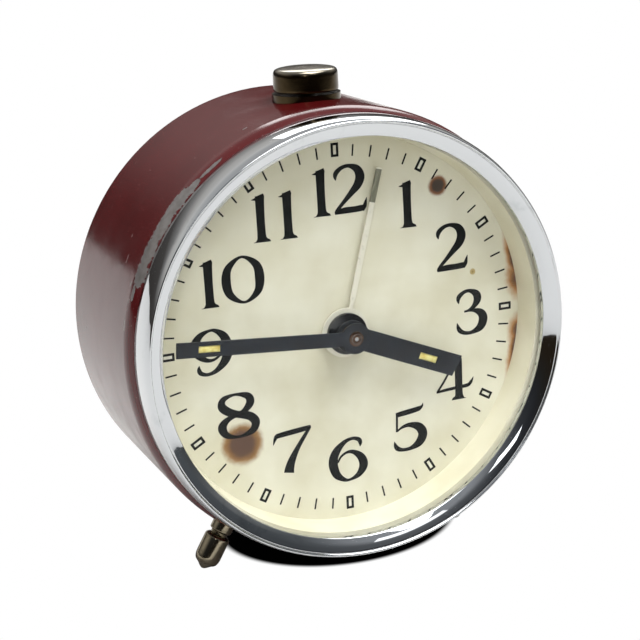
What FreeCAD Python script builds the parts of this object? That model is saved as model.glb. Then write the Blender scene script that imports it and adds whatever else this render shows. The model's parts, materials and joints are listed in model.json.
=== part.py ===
"""Wind-up table alarm clock: drum case, dial, three hands, two-spring movement and bell."""
import FreeCAD
import Part
import math
import os

V = FreeCAD.Vector

# Everything is drawn upright in clock axes, in millimetres: x to the right and z to 12 o'clock
# as the dial is read, y towards the back, origin at the dial's centre on its front face.
# The last step leans the clock back onto its two feet and its rear rim.

# ---- driving dimensions ----
drum_r = 45.0
drum_wall = 0.8
drum_front_y = -0.5
drum_rear_y = 36.0
neck_r = 43.1
neck_front_y = -6.6
bezel_r = 44.0
bezel_inner_r = 40.0
dial_r = 42.0
dial_t = 0.6
dial_seen_r = 39.3

plate_r = 37.5
plate_t = 1.4
front_plate_y = 6.0
back_plate_y = 24.0
back_cover_y = 34.6
back_cover_t = 0.8

foot_clock = 31.0          # degrees of each foot from 6 o'clock
foot_y = 10.0
foot_ball_r = 1.0
foot_tip_r = 56.8
button_y = 13.3
button_r = 6.5
button_top_r = 51.3
button_travel = 3.0

minute_clock = 274.7       # where each hand points at rest, clockwise from 12
hour_clock = 112.9
alarm_clock = 15.0

run = 0.03                 # radial clearance of a pivot in its hole
pivot_r = 0.4

# ---- places of the arbors between the plates (x, z) ----
centre = (0.0, 0.0)


def polar(start, distance, degrees):
    """Point at a distance and direction (degrees from +x towards +z) from a start point."""
    angle = math.radians(degrees)
    return (start[0] + distance * math.cos(angle), start[1] + distance * math.sin(angle))


m_great, m_centre, m_third, m_fourth = 0.5, 0.38, 0.34, 0.30
m_minute, m_hour, m_alarm = 0.5, 0.48, 0.6
t_great, t_centre_pinion = 72, 12
t_centre, t_third_pinion = 64, 8
t_third, t_fourth_pinion = 60, 8
t_fourth, t_escape_pinion = 60, 6
t_cannon, t_minute, t_minute_pinion, t_hour = 12, 36, 10, 40
t_alarm, t_alarm_pinion = 48, 12
t_alarm_great, t_strike_pinion = 48, 8
t_escape = 15
t_strike = 18


def spacing(module, teeth_a, teeth_b):
    """Centre distance of two meshed wheels."""
    return module * (teeth_a + teeth_b) / 2


great_at = polar(centre, spacing(m_great, t_great, t_centre_pinion), 225.0)
third_at = polar(centre, spacing(m_centre, t_centre, t_third_pinion), 90.0)
fourth_at = polar(third_at, spacing(m_third, t_third, t_fourth_pinion), 170.0)
escape_at = polar(fourth_at, spacing(m_fourth, t_fourth, t_escape_pinion), 80.0)
pallet_at = polar(escape_at, 8.0, 0.0)
balance_at = polar(pallet_at, 9.0, 0.0)
minute_at = polar(centre, spacing(m_minute, t_cannon, t_minute), 200.0)
alarm_set_at = polar(centre, spacing(m_alarm, t_alarm, t_alarm_pinion), 0.0)
alarm_great_at = (14.5, -15.0)
strike_at = polar(alarm_great_at, spacing(m_great, t_alarm_great, t_strike_pinion), 25.0)
hammer_at = polar(strike_at, 8.5, 90.0)
bell_at = (0.0, 20.0)
bell_r = 17.0
pillars_at = [(-33.0, 4.0), (0.0, -33.0), (30.0, 16.0), (-22.0, 27.0)]
cover_screws_at = [polar(centre, 36.0, degrees) for degrees in (65.0, 185.0, 305.0)]
dial_feet_at = [polar(centre, 33.0, degrees) for degrees in (5.0, 115.0, 250.0)]
y_dir = V(0, 1, 0)
nodes = {}


# ---- shapes ----
def turn(profile, at=centre):
    """Solid of revolution about a line along y; the profile is a list of (radius, y)."""
    points = [V(r, y, 0) for r, y in profile]
    wire = Part.makePolygon(points + points[:1])
    solid = Part.Face(wire).revolve(V(0, 0, 0), y_dir, 360)
    solid.translate(V(at[0], 0, at[1]))
    return solid


def smooth_turn(edges, at=centre):
    """Solid of revolution of a closed chain of edges drawn in the x-y plane."""
    solid = Part.Face(Part.Wire(edges)).revolve(V(0, 0, 0), y_dir, 360)
    solid.translate(V(at[0], 0, at[1]))
    return solid


def line(a, b):
    return Part.LineSegment(V(a[0], a[1], 0), V(b[0], b[1], 0)).toShape()


def arc(a, mid, b):
    return Part.Arc(V(a[0], a[1], 0), V(mid[0], mid[1], 0), V(b[0], b[1], 0)).toShape()


def rod(radius, y0, y1, at=centre, bore=0.0):
    """Cylinder along y from y0 to y1, hollow if a bore radius is given."""
    base = V(at[0], y0, at[1])
    solid = Part.makeCylinder(radius, y1 - y0, base, y_dir)
    if bore > 0:
        solid = solid.cut(Part.makeCylinder(bore, y1 - y0 + 2, base - y_dir, y_dir))
    return solid


def stamped(outline, y0, y1):
    """Flat piece cut to an outline of (x, z) points, from y0 to y1."""
    points = [V(x, y0, z) for x, z in outline]
    return Part.Face(Part.makePolygon(points + points[:1])).extrude(V(0, y1 - y0, 0))


def bar(start, degrees, near, far, half, y0, y1, half_far=None):
    """Straight arm pointing in a direction from a start point, between two distances."""
    ux, uz = math.cos(math.radians(degrees)), math.sin(math.radians(degrees))
    tip = half if half_far is None else half_far
    corners = [(near, -half), (far, -tip), (far, tip), (near, half)]
    return stamped([(start[0] + u * ux - w * uz, start[1] + u * uz + w * ux)
                    for u, w in corners], y0, y1)


def fuse(first, *rest):
    """One solid from touching solids."""
    solid = first.multiFuse(list(rest)).removeSplitter()
    return solid.Solids[0] if len(solid.Solids) == 1 else solid


def on_clock(solid, clock, y=0.0):
    """Move a solid drawn at 12 o'clock to another place on the clock, and along y."""
    solid = solid.copy()
    solid.rotate(V(0, 0, 0), y_dir, clock)
    solid.translate(V(0, y, 0))
    return solid


# ---- gears: flat-flanked clock teeth, thin enough to run with backlash ----
tooth_forms = {
    "wheel": {"addendum": 1.15, "dedendum": 1.35, "width": 0.42},
    "pinion": {"addendum": 0.55, "dedendum": 1.75, "width": 0.32},
}


def gear_outline(teeth, module, form, phase, at):
    """Outline of a toothed wheel; phase is the angle of the middle of one tooth."""
    shape = tooth_forms[form]
    pitch_r = module * teeth / 2
    root_r = pitch_r - shape["dedendum"] * module
    shoulder_r = pitch_r + 0.62 * shape["addendum"] * module
    tip_r = pitch_r + shape["addendum"] * module
    half = shape["width"] * math.pi / teeth
    flank = [(root_r, half), (pitch_r, half), (shoulder_r, 0.66 * half), (tip_r, 0.16 * half)]
    outline = []
    for tooth in range(teeth):
        middle = phase + tooth * 2 * math.pi / teeth
        turned = [(r, middle - w) for r, w in flank] + [(r, middle + w) for r, w in flank[::-1]]
        outline += [(at[0] + r * math.cos(a), at[1] + r * math.sin(a)) for r, a in turned]
    return outline


def gear(teeth, module, form, phase, y0, y1, at, bore=0.0):
    solid = stamped(gear_outline(teeth, module, form, phase, at), y0, y1)
    return solid.cut(rod(bore, y0 - 1, y1 + 1, at)) if bore > 0 else solid


def crossed(solid, hub_r, rim_r, spokes, y0, y1, at, spoke_half=0.9):
    """Cut the windows of a crossed-out wheel between its hub and its rim."""
    windows = rod(rim_r, y0 - 1, y1 + 1, at, hub_r)
    for spoke in range(spokes):
        windows = windows.cut(bar(at, spoke * 360.0 / spokes + 20, 0, rim_r + 1,
                                  spoke_half, y0 - 2, y1 + 2))
    return solid.cut(windows)


def meshed(phase_a, teeth_a, at_a, teeth_b, at_b):
    """Phase of wheel b that puts one of its gaps on the tooth of wheel a between their centres."""
    bearing = math.atan2(at_b[1] - at_a[1], at_b[0] - at_a[0])
    offset = (bearing - phase_a) * teeth_a / (2 * math.pi)
    return bearing + math.pi - (0.5 - offset) * 2 * math.pi / teeth_b


def saw_outline(teeth, root_r, tip_r, lean, at):
    """Outline of a ratchet or escape wheel: pointed teeth that lean by a part of the pitch."""
    outline = []
    for tooth in range(teeth):
        start = tooth * 2 * math.pi / teeth
        pitch = 2 * math.pi / teeth
        for r, part in ((root_r, 0.0), (tip_r, lean), (tip_r, lean + 0.06), (root_r, lean + 0.12)):
            angle = start + part * pitch
            outline.append((at[0] + r * math.cos(angle), at[1] + r * math.sin(angle)))
    return outline


def spiral_strip(inner_r, outer_r, turns, thick, y0, y1, at, start=0.0):
    """Coiled strip: radius grows evenly with angle."""
    steps = int(turns * 24)
    inside, outside = [], []
    for step in range(steps + 1):
        share = step / steps
        angle = start + share * turns * 2 * math.pi
        r = inner_r + (outer_r - inner_r) * share
        c, s = math.cos(angle), math.sin(angle)
        inside.append((at[0] + r * c, at[1] + r * s))
        outside.append((at[0] + (r + thick) * c, at[1] + (r + thick) * s))
    return stamped(inside + outside[::-1], y0, y1)


def arbor(at, main_r, y0=7.7, y1=23.7, pivot=pivot_r, extra=()):
    """Steel arbor with a pivot at each end that runs in the two plates."""
    parts = [rod(main_r, y0, y1, at)]
    parts.append(rod(pivot, front_plate_y + 0.1, y0, at))
    parts.append(rod(pivot, y1, back_plate_y + plate_t - 0.1, at))
    return fuse(*parts, *extra)


# ---- case ----
def make_case():
    outer, inner, rear, wall = drum_r, drum_r - drum_wall, drum_rear_y, drum_wall
    neck_in = neck_r - wall
    shoulder_y = -3.8
    drum = smooth_turn([
        line((inner, rear - 0.4), (inner, 0.2)),
        line((inner, 0.2), (neck_in, -2.6)),
        line((neck_in, -2.6), (neck_in, neck_front_y)),
        line((neck_in, neck_front_y), (neck_r, neck_front_y)),
        line((neck_r, neck_front_y), (neck_r, shoulder_y)),
        line((neck_r, shoulder_y), (bezel_r, shoulder_y)),
        arc((bezel_r, shoulder_y), (44.72, -2.3), (outer, drum_front_y)),
        line((outer, drum_front_y), (outer, rear - 0.4)),
        arc((outer, rear - 0.4), (outer - 0.4, rear), (inner, rear - 0.4)),
    ])
    for side in (-1, 1):
        stud_hole = Part.makeCylinder(1.6, 6, V(0, 0, 41))
        drum = drum.cut(on_clock(stud_hole, 180 + side * foot_clock, foot_y))
    drum = drum.cut(Part.makeCylinder(3.2, 6, V(0, button_y, 41)))
    nodes["case_drum"] = drum
    nodes["dial_seat_ring"] = turn([(40.6, 0.65), (44.15, 0.65), (44.15, 1.45), (40.6, 1.45)])

    nodes["bezel"] = smooth_turn([
        line((43.15, -3.85), (bezel_r, -3.85)),
        line((bezel_r, -3.85), (bezel_r, -11.0)),
        arc((bezel_r, -11.0), (43.5, -11.62), (42.9, -11.5)),
        line((42.9, -11.5), (42.72, -11.3)),
        line((42.72, -11.3), (42.5, -11.32)),
        line((42.5, -11.32), (bezel_inner_r + 0.05, -9.75)),
        line((bezel_inner_r + 0.05, -9.75), (bezel_inner_r, -9.6)),
        line((bezel_inner_r, -9.6), (bezel_inner_r, -8.5)),
        line((bezel_inner_r, -8.5), (42.7, -8.5)),
        line((42.7, -8.5), (43.15, -8.1)),
        line((43.15, -8.1), (43.15, -3.85)),
    ])
    glass_r, glass_t, glass_edge_y, glass_top_y = 42.6, 1.3, -8.1, -10.4
    rise = glass_edge_y - glass_top_y
    ball_r = (glass_r ** 2 + rise ** 2) / (2 * rise)
    front = Part.makeSphere(ball_r, V(0, glass_top_y + ball_r, 0), y_dir, -90, 90, 360)
    hollow = Part.makeSphere(ball_r, V(0, glass_top_y + ball_r + glass_t, 0), y_dir, -90, 90, 360)
    disc = rod(glass_r, glass_top_y - 1, glass_edge_y + glass_t)
    nodes["crystal"] = disc.common(front).cut(hollow).Solids[0]
    nodes["dial_flange"] = turn([(dial_seen_r, -0.02), (dial_seen_r + 0.5, -6.7), (42.25, -6.7),
                                 (42.25, -6.1), (40.4, -6.1), (40.0, -0.02)])
    dial = rod(dial_r, 0, dial_t).cut(rod(3.1, -1, 2))
    pins = [rod(0.6, dial_t, front_plate_y + plate_t + 1.0, at) for at in dial_feet_at]
    nodes["dial_plate"] = fuse(dial, *pins)


def make_feet():
    tip = foot_tip_r
    ball = foot_ball_r
    stud_r, collar_r, waist_r, barrel_r = 1.5, 2.3, 1.75, 2.65
    foot = Part.Face(Part.Wire([
        line((0, 41.8), (stud_r, 41.8)),
        line((stud_r, 41.8), (stud_r, 44.7)),
        line((stud_r, 44.7), (collar_r, 44.7)),
        line((collar_r, 44.7), (collar_r, 48.2)),
        line((collar_r, 48.2), (waist_r, 48.4)),
        line((waist_r, 48.4), (waist_r, 49.0)),
        line((waist_r, 49.0), (barrel_r, 49.3)),
        line((barrel_r, 49.3), (barrel_r, 54.3)),
        arc((barrel_r, 54.3), (2.3, 55.3), (1.5, 55.8)),
        line((1.5, 55.8), (ball, tip - ball)),
        arc((ball, tip - ball), (ball * math.sqrt(0.5), tip - ball * (1 - math.sqrt(0.5))), (0, tip)),
        line((0, tip), (0, 41.8)),
    ])).revolve(V(0, 0, 0), y_dir, 360).Solids[0]
    foot.rotate(V(0, 0, 0), V(1, 0, 0), 90)
    drum_space = rod(drum_r + 0.02, -20, 40).cut(rod(drum_r - 4, -21, 41))
    stud = Part.makeCylinder(stud_r, 10, V(0, 0, 41.8))
    nuts = []
    for name, side in (("left_foot", 1), ("right_foot", -1)):
        clock = 180 + side * foot_clock
        placed = on_clock(foot, clock, foot_y)
        body = placed.cut(drum_space)
        nodes[name] = fuse(body, placed.common(on_clock(stud, clock, foot_y)))
        nut = Part.makeBox(7, 7, 2.4, V(-3.5, -3.5, 41.7))
        nut = nut.cut(Part.makeCylinder(stud_r + 0.02, 6, V(0, 0, 41)))
        nuts.append(on_clock(nut, clock, foot_y).common(rod(drum_r - drum_wall - 0.05, -20, 40)))
    nodes["foot_nuts"] = Part.makeCompound(nuts)


def make_button():
    side_z, r, top = 46.35, button_r, button_top_r
    stem_r, stem_z, socket_depth = 1.5, 36.2, 3.5
    cap = Part.Face(Part.Wire([
        line((0, side_z), (r - 0.3, side_z)),
        line((r - 0.3, side_z), (r, side_z + 0.3)),
        line((r, side_z + 0.3), (r, top - 1.3)),
        arc((r, top - 1.3), (r - 0.4, top - 0.6), (r - 1.3, top - 0.25)),
        arc((r - 1.3, top - 0.25), (r / 2, top - 0.07), (1.0, top)),
        line((1.0, top), (0, top)),
        line((0, top), (0, side_z)),
    ])).revolve(V(0, 0, 0), y_dir, 360).Solids[0]
    cap.rotate(V(0, 0, 0), V(1, 0, 0), 90)
    cap.translate(V(0, button_y, 0))
    nodes["button_cap"] = cap.cut(Part.makeCylinder(stem_r, socket_depth, V(0, button_y, side_z)))

    guide_z, clip_t, clip_gap = 42.0, 0.6, 0.8
    # with the button pulled fully up the clip still stops short of the guide by clip_gap
    clip_z = guide_z - button_travel - clip_t - clip_gap
    stem = Part.makeCylinder(stem_r, side_z + socket_depth - stem_z, V(0, button_y, stem_z))
    clip = Part.makeCylinder(2.8, clip_t, V(0, button_y, clip_z))
    nodes["button_stem"] = fuse(stem, clip)
    collar = Part.makeCylinder(r + 0.35, 2.4, V(0, button_y, 43.6))
    collar = collar.cut(rod(drum_r + 0.02, -10, 40))
    nodes["button_collar"] = collar.cut(Part.makeCylinder(3.3, 6, V(0, button_y, guide_z)))
    guide = Part.makeCylinder(3.1, 4.0, V(0, button_y, guide_z))
    flange = Part.makeCylinder(5.0, 0.85, V(0, button_y, guide_z + 1.0))
    flange = flange.common(rod(drum_r - drum_wall - 0.05, 0, 30))
    bore = Part.makeCylinder(stem_r + 0.05, 8, V(0, button_y, guide_z - 1))
    nodes["button_guide"] = fuse(guide, flange).cut(bore)
    wing = Part.makeBox(1.6, 3.2, 0.5, V(-0.8, button_y + 1.8, guide_z - 0.5))
    upright = Part.makeBox(1.6, 0.5, 4.6, V(-0.8, button_y + 4.6, 36.9))
    nodes["button_detent_spring"] = fuse(wing, upright)


# ---- hands ----
def hand_ring(outer_r, bore_r, y0, y1):
    return rod(outer_r, y0, y1, bore=bore_r)


def hand_blade(points, y0, y1):
    """Flat blade drawn at 12 o'clock, as (across, along) points."""
    return stamped(points, y0, y1)


def make_hands():
    minute_y, hour_y, alarm_y = (-6.9, -6.45), (-4.8, -4.3), (-1.7, -1.3)
    window = (0.675, 27.9, 32.2)        # half width, near end, far end of the minute hand's slot
    blade = hand_blade([(-1.4, 2.6), (1.4, 2.6), (1.52, 36.6), (-1.52, 36.6)], *minute_y)
    hole = Part.makeBox(2 * window[0], 4, window[2] - window[1], V(-window[0], -8, window[1]))
    hand = fuse(hand_ring(3.1, 1.47, *minute_y), blade).cut(hole).cut(rod(1.47, -9, 0))
    nodes["minute_hand"] = on_clock(hand, minute_clock)
    lume = Part.makeBox(1.31, 0.35, 4.26, V(-0.655, minute_y[0] + 0.05, 27.92))
    nodes["minute_hand_lume"] = on_clock(lume, minute_clock)

    blade = hand_blade([(-2.2, 2.3), (2.2, 2.3), (2.25, 24.3), (-2.25, 25.0)], *hour_y)
    hole = Part.makeBox(1.4, 4, 4.1, V(-0.7, -6, 15.75))
    hand = fuse(hand_ring(3.2, 2.32, *hour_y), blade).cut(hole).cut(rod(2.32, -9, 0))
    nodes["hour_hand"] = on_clock(hand, hour_clock)
    lume = Part.makeBox(1.36, 0.4, 4.06, V(-0.68, hour_y[0] + 0.05, 15.77))
    nodes["hour_hand_lume"] = on_clock(lume, hour_clock)
    bore_r, disc_r, boss_r = 2.32, 4.15, 3.0
    nodes["hour_hand_hub"] = turn([(bore_r, -2.0), (disc_r, -2.0), (disc_r, -2.8), (boss_r, -3.2),
                                   (boss_r, -4.28), (bore_r, -4.28)])

    neck_half, half, tip = 0.35, 0.58, 33.3
    neck = hand_blade([(-neck_half, 4.6), (neck_half, 4.6), (neck_half, 6.3), (-neck_half, 6.3)], *alarm_y)
    blade = hand_blade([(-neck_half, 6.2), (neck_half, 6.2), (half, 7.2), (half, tip), (-half, tip),
                        (-half, 7.2)], *alarm_y)
    groove = Part.makeBox(0.5, 4, 6.4, V(-0.25, -5.55, 26.5))
    hand = fuse(hand_ring(5.0, 2.92, *alarm_y), neck, blade).cut(groove)
    nodes["alarm_hand"] = on_clock(hand, alarm_clock)


# ---- motion work between the dial and the front plate ----
def make_motion_work():
    cannon_phase = 0.0
    minute_phase = meshed(cannon_phase, t_cannon, centre, t_minute, minute_at)
    hour_phase = meshed(0.0, t_minute_pinion, minute_at, t_hour, centre)
    alarm_phase = 0.0
    set_phase = meshed(alarm_phase, t_alarm, centre, t_alarm_pinion, alarm_set_at)

    nodes["centre_arbor"] = fuse(rod(1.0, -7.2, 44.0), rod(1.9, 13.0, 15.0))
    pipe = turn([(1.02, -6.95), (1.45, -6.95), (1.45, -5.9), (1.7, -5.9), (1.7, 5.6), (1.02, 5.6)])
    leaves = gear(t_cannon, m_minute, "pinion", cannon_phase, 4.1, 5.4, centre, 1.4)
    nodes["cannon_pinion"] = fuse(pipe, leaves)

    wheel = gear(t_minute, m_minute, "wheel", minute_phase, 4.4, 5.0, minute_at, 0.9)
    pinion = gear(t_minute_pinion, m_hour, "pinion", 0.0, 2.5, 4.4, minute_at, 0.9)
    nodes["minute_wheel"] = fuse(wheel, pinion)

    wheel = gear(t_hour, m_hour, "wheel", hour_phase, 2.8, 3.5, centre, 1.78)
    nodes["hour_wheel"] = fuse(wheel, rod(2.3, -4.8, 3.5, bore=1.78))
    wheel = gear(t_alarm, m_alarm, "wheel", alarm_phase, 1.1, 1.8, centre, 2.38)
    wheel = crossed(wheel, 4.5, 12.4, 4, 1.1, 1.8, centre, 1.2)
    nodes["alarm_wheel"] = fuse(wheel, rod(2.9, -1.7, 1.8, bore=2.38))

    pinion = gear(t_alarm_pinion, m_alarm, "pinion", set_phase, 0.9, 2.3, alarm_set_at, 0.9)
    nodes["alarm_set_arbor"] = fuse(rod(1.0, 0.9, 44.0, alarm_set_at), pinion)


# ---- plates and pillars ----
def make_plates():
    thin, thick = 1.0 + run, 1.8 + run
    front_holes = [(at, thin) for at in (centre, great_at, alarm_great_at, alarm_set_at)]
    back_holes = [(centre, thin), (great_at, thick), (alarm_great_at, thick), (alarm_set_at, thin)]
    for at in (third_at, fourth_at, escape_at, pallet_at, strike_at):
        front_holes.append((at, pivot_r + run))
        back_holes.append((at, pivot_r + run))
    front_holes += [(hammer_at, pivot_r + run), (balance_at, 1.52)]
    front_holes += [(at, 0.65) for at in dial_feet_at]
    back_holes += [(hammer_at, 0.8 + run), (balance_at, 1.52)]
    screw_holes = [(at, 1.02) for at in pillars_at]
    windows = [((-22.0, -2.0), 5.0), ((22.0, 27.0), 4.0), ((2.0, -22.0), 4.0)]
    for name, y, holes in (("front_plate", front_plate_y, front_holes),
                           ("back_plate", back_plate_y, back_holes)):
        plate = rod(plate_r, y, y + plate_t)
        cuts = [rod(r, y - 1, y + plate_t + 1, at) for at, r in holes + screw_holes]
        if name == "back_plate":
            cuts += [rod(r, y - 1, y + plate_t + 1, at) for at, r in windows]
        nodes[name] = plate.cut(Part.makeCompound(cuts)).Solids[0]
    nodes["front_plate"] = fuse(nodes["front_plate"], rod(0.85, 2.3, front_plate_y + plate_t, minute_at))
    spring_post = rod(0.5, 17.0, back_plate_y + plate_t, polar(balance_at, 6.2, 0))
    nodes["back_plate"] = fuse(nodes["back_plate"], spring_post)
    nodes["pillars"] = Part.makeCompound([rod(2.5, front_plate_y + plate_t, back_plate_y, at, 1.0)
                                          for at in pillars_at])
    screws = []
    for at in pillars_at:
        screws.append(turn([(0, 4.6), (2.0, 4.6), (2.0, 5.98), (0.98, 5.98), (0.98, 13.0), (0, 13.0)], at))
        screws.append(turn([(0, 26.8), (2.0, 26.8), (2.0, 25.42), (0.98, 25.42), (0.98, 18.0),
                            (0, 18.0)], at))
    nodes["pillar_screws"] = Part.makeCompound(screws)


# ---- going train ----
def make_train():
    centre_phase = 0.0
    pinion_phase = 0.2
    third_phase = meshed(centre_phase, t_centre, centre, t_third_pinion, third_at)
    fourth_phase = meshed(0.0, t_third, third_at, t_fourth_pinion, fourth_at)
    escape_phase = meshed(0.0, t_fourth, fourth_at, t_escape_pinion, escape_at)
    great_phase = meshed(pinion_phase, t_centre_pinion, centre, t_great, great_at)

    bore = 1.0 + run
    wheel = gear(t_centre, m_centre, "wheel", centre_phase, 8.2, 9.0, centre, bore)
    wheel = crossed(wheel, 4.0, 10.4, 4, 8.2, 9.0, centre)
    pinion = gear(t_centre_pinion, m_great, "pinion", pinion_phase, 9.8, 12.0, centre, bore)
    nodes["centre_wheel"] = fuse(wheel, pinion, rod(1.9, 7.7, 12.4, bore=bore))
    spring = rod(2.7, 12.6, 12.9, bore=1.02)
    nodes["friction_spring"] = crossed(spring, 1.5, 2.3, 3, 12.6, 12.9, centre, 0.4)

    def train_piece(at, main_r, pinion_args, wheel_args, windows):
        """Arbor, pinion and crossed-out wheel riveted together."""
        teeth, module, phase, y0, y1 = wheel_args
        wheel = gear(teeth, module, "wheel", phase, y0, y1, at)
        wheel = crossed(wheel, windows[0], windows[1], windows[2], y0, y1, at)
        p_teeth, p_module, p_phase, p_y0, p_y1 = pinion_args
        pinion = gear(p_teeth, p_module, "pinion", p_phase, p_y0, p_y1, at)
        return arbor(at, main_r, extra=[wheel, pinion])

    nodes["third_wheel"] = train_piece(
        third_at, 0.7, (t_third_pinion, m_centre, third_phase, 7.9, 9.4),
        (t_third, m_third, 0.0, 13.1, 13.8), (2.6, 8.6, 4))
    nodes["fourth_wheel"] = train_piece(
        fourth_at, 0.6, (t_fourth_pinion, m_third, fourth_phase, 12.6, 14.3),
        (t_fourth, m_fourth, 0.0, 16.0, 16.6), (2.4, 7.5, 4))
    escape = stamped(saw_outline(t_escape, 3.7, 5.0, 0.45, escape_at), 19.2, 19.9)
    escape = crossed(escape, 1.5, 3.0, 3, 19.2, 19.9, escape_at, 0.4)
    pinion = gear(t_escape_pinion, m_fourth, "pinion", escape_phase, 15.4, 17.2, escape_at)
    nodes["escape_wheel"] = arbor(escape_at, 0.36, extra=[escape, pinion], pivot=0.3)

    wheel = gear(t_great, m_great, "wheel", great_phase, 10.2, 11.4, great_at, 1.8 + run)
    wheel = crossed(wheel, 8.8, 15.6, 5, 10.2, 11.4, great_at, 1.3)
    nodes["great_wheel"] = fuse(wheel, rod(0.7, 11.4, 13.0, polar(great_at, 7.3, 60)))
    nodes["time_click"] = make_click(great_at, 60, 11.6, 12.6)
    nodes["time_mainspring"] = spiral_strip(3.0, 13.2, 7, 0.45, 13.6, 21.6, great_at)
    nodes["time_winding_arbor"] = winding_arbor(great_at, 11.6, 12.6)


def winding_arbor(at, y0, y1):
    """Stepped arbor with its ratchet wheel from y0 to y1."""
    ratchet = stamped(saw_outline(16, 4.2, 5.0, 0.8, at), y0, y1)
    return fuse(rod(1.8, 7.7, 40.0, at), rod(1.0, 6.1, 7.7, at), rod(1.2, 40.0, 46.0, at), ratchet)


def make_click(at, degrees, y0, y1):
    """Click that pivots beside a ratchet and ends just clear of its tips."""
    pivot = polar(at, 7.3, degrees)
    eye = rod(1.3, y0, y1, pivot, 0.73)
    nose = polar(at, 5.45, degrees + 32)
    length = math.dist(pivot, nose)
    toward = math.degrees(math.atan2(nose[1] - pivot[1], nose[0] - pivot[0]))
    return fuse(eye, bar(pivot, toward, 1.0, length, 0.5, y0, y1, 0.25))


def make_escapement():
    lever_y = (20.1, 20.9)
    anchor = [bar(pallet_at, 180 + side * 42, 0.3, 4.3, 0.45, *lever_y) for side in (-1, 1)]
    pins = [rod(0.2, 19.0, 20.2, polar(pallet_at, 3.9, 180 + side * 42)) for side in (-1, 1)]
    tail = bar(pallet_at, 0, 0.3, 6.3, 0.5, *lever_y)
    nodes["pallet_lever"] = arbor(pallet_at, 0.5, extra=anchor + pins + [tail], pivot=0.3)
    rim = rod(8.0, 14.7, 16.1, balance_at, 6.7)
    arms = [bar(balance_at, 15 + half * 180, 0.3, 7.0, 0.7, 15.0, 15.8) for half in (0, 1)]
    wheel = fuse(rim, *arms, rod(1.6, 14.7, 16.1, balance_at))
    nodes["balance_wheel"] = wheel.cut(rod(0.7, 10, 20, balance_at))
    staff = turn([(0, 8.25), (0.7, 9.2), (0.7, 21.6), (0, 22.55)], balance_at)
    roller = rod(1.9, 18.9, 19.5, balance_at)
    impulse = rod(0.2, 19.5, 20.6, polar(balance_at, 1.6, 180))
    nodes["balance_staff"] = fuse(staff, roller, impulse)
    nodes["hairspring"] = spiral_strip(1.4, 5.0, 9, 0.12, 17.2, 17.8, balance_at)
    screws = []
    cone = (0.75, 0.95)
    screws.append(turn([(0, 4.0), (1.9, 4.0), (1.9, 5.4), (1.5, 5.4), (1.5, 8.6), (cone[0], 8.6),
                        (0, 8.6 - cone[1])], balance_at))
    screws.append(turn([(0, 27.6), (1.9, 27.6), (1.9, 26.6), (1.5, 26.6), (1.5, 22.2), (cone[0], 22.2),
                        (0, 22.2 + cone[1])], balance_at))
    nodes["balance_pivot_screws"] = Part.makeCompound(screws)
    lever = fuse(rod(3.0, 25.6, 26.3, balance_at, 1.56), bar(balance_at, 90, 2.0, 15.2, 0.9, 25.6, 26.3),
                 Part.makeBox(1.8, 12.0, 1.2, V(balance_at[0] - 0.9, 25.6, balance_at[1] + 14.0)))
    nodes["regulator_lever"] = lever


# ---- alarm train ----
def make_alarm_train():
    strike_phase = meshed(0.0, t_alarm_great, alarm_great_at, t_strike_pinion, strike_at)
    wheel = gear(t_alarm_great, m_great, "wheel", 0.0, 20.8, 21.9, alarm_great_at, 1.8 + run)
    nodes["alarm_great_wheel"] = fuse(wheel, rod(0.7, 19.2, 20.8, polar(alarm_great_at, 7.3, 60)))
    nodes["alarm_click"] = make_click(alarm_great_at, 60, 19.6, 20.6)
    nodes["alarm_mainspring"] = spiral_strip(3.0, 9.2, 5, 0.45, 11.0, 18.6, alarm_great_at)
    nodes["alarm_winding_arbor"] = winding_arbor(alarm_great_at, 19.6, 20.6)
    pinion = gear(t_strike_pinion, m_great, "pinion", strike_phase, 20.2, 22.3, strike_at)
    wheel = stamped(saw_outline(t_strike, 4.4, 5.4, 0.45, strike_at), 9.0, 9.8)
    nodes["strike_wheel"] = arbor(strike_at, 0.7, extra=[pinion, wheel])

    reach = math.dist(hammer_at, (bell_at[0] + bell_r + 2.3, bell_at[1]))
    aim = math.degrees(math.atan2(bell_at[1] - hammer_at[1], bell_at[0] + bell_r + 2.3 - hammer_at[0]))
    head = polar(hammer_at, reach, aim)
    shaft = fuse(rod(0.8, 7.7, 29.6, hammer_at), rod(pivot_r, front_plate_y + 0.1, 7.7, hammer_at))
    verge = [bar(hammer_at, 270 + side * 40, 0.4, 3.0, 0.4, 9.0, 9.8, 0.25) for side in (-1, 1)]
    arm = bar(hammer_at, aim, 0.3, reach, 0.6, 28.8, 29.6)
    nodes["hammer"] = fuse(shaft, rod(1.6, 28.2, 29.6, hammer_at), arm, rod(2.0, 27.6, 30.8, head), *verge)


def make_bell():
    r, wall = bell_r, 0.8
    nodes["bell"] = smooth_turn([
        line((1.3, 33.0), (8.0, 33.0)), arc((8.0, 33.0), (13.8, 31.6), (r - wall, 27.0)),
        line((r - wall, 27.0), (r, 27.0)), arc((r, 27.0), (14.5, 32.1), (8.3, 33.8)),
        line((8.3, 33.8), (1.3, 33.8)), line((1.3, 33.8), (1.3, 33.0)),
    ], bell_at)
    screw = turn([(0, 31.8), (2.4, 31.8), (2.4, 32.95), (1.25, 32.95), (1.25, 36.3), (0, 36.3)], bell_at)
    washer = rod(3.0, 33.85, back_cover_y - 0.02, bell_at, 1.3)
    nodes["bell_screw_and_washer"] = Part.makeCompound([screw, washer])


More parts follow.
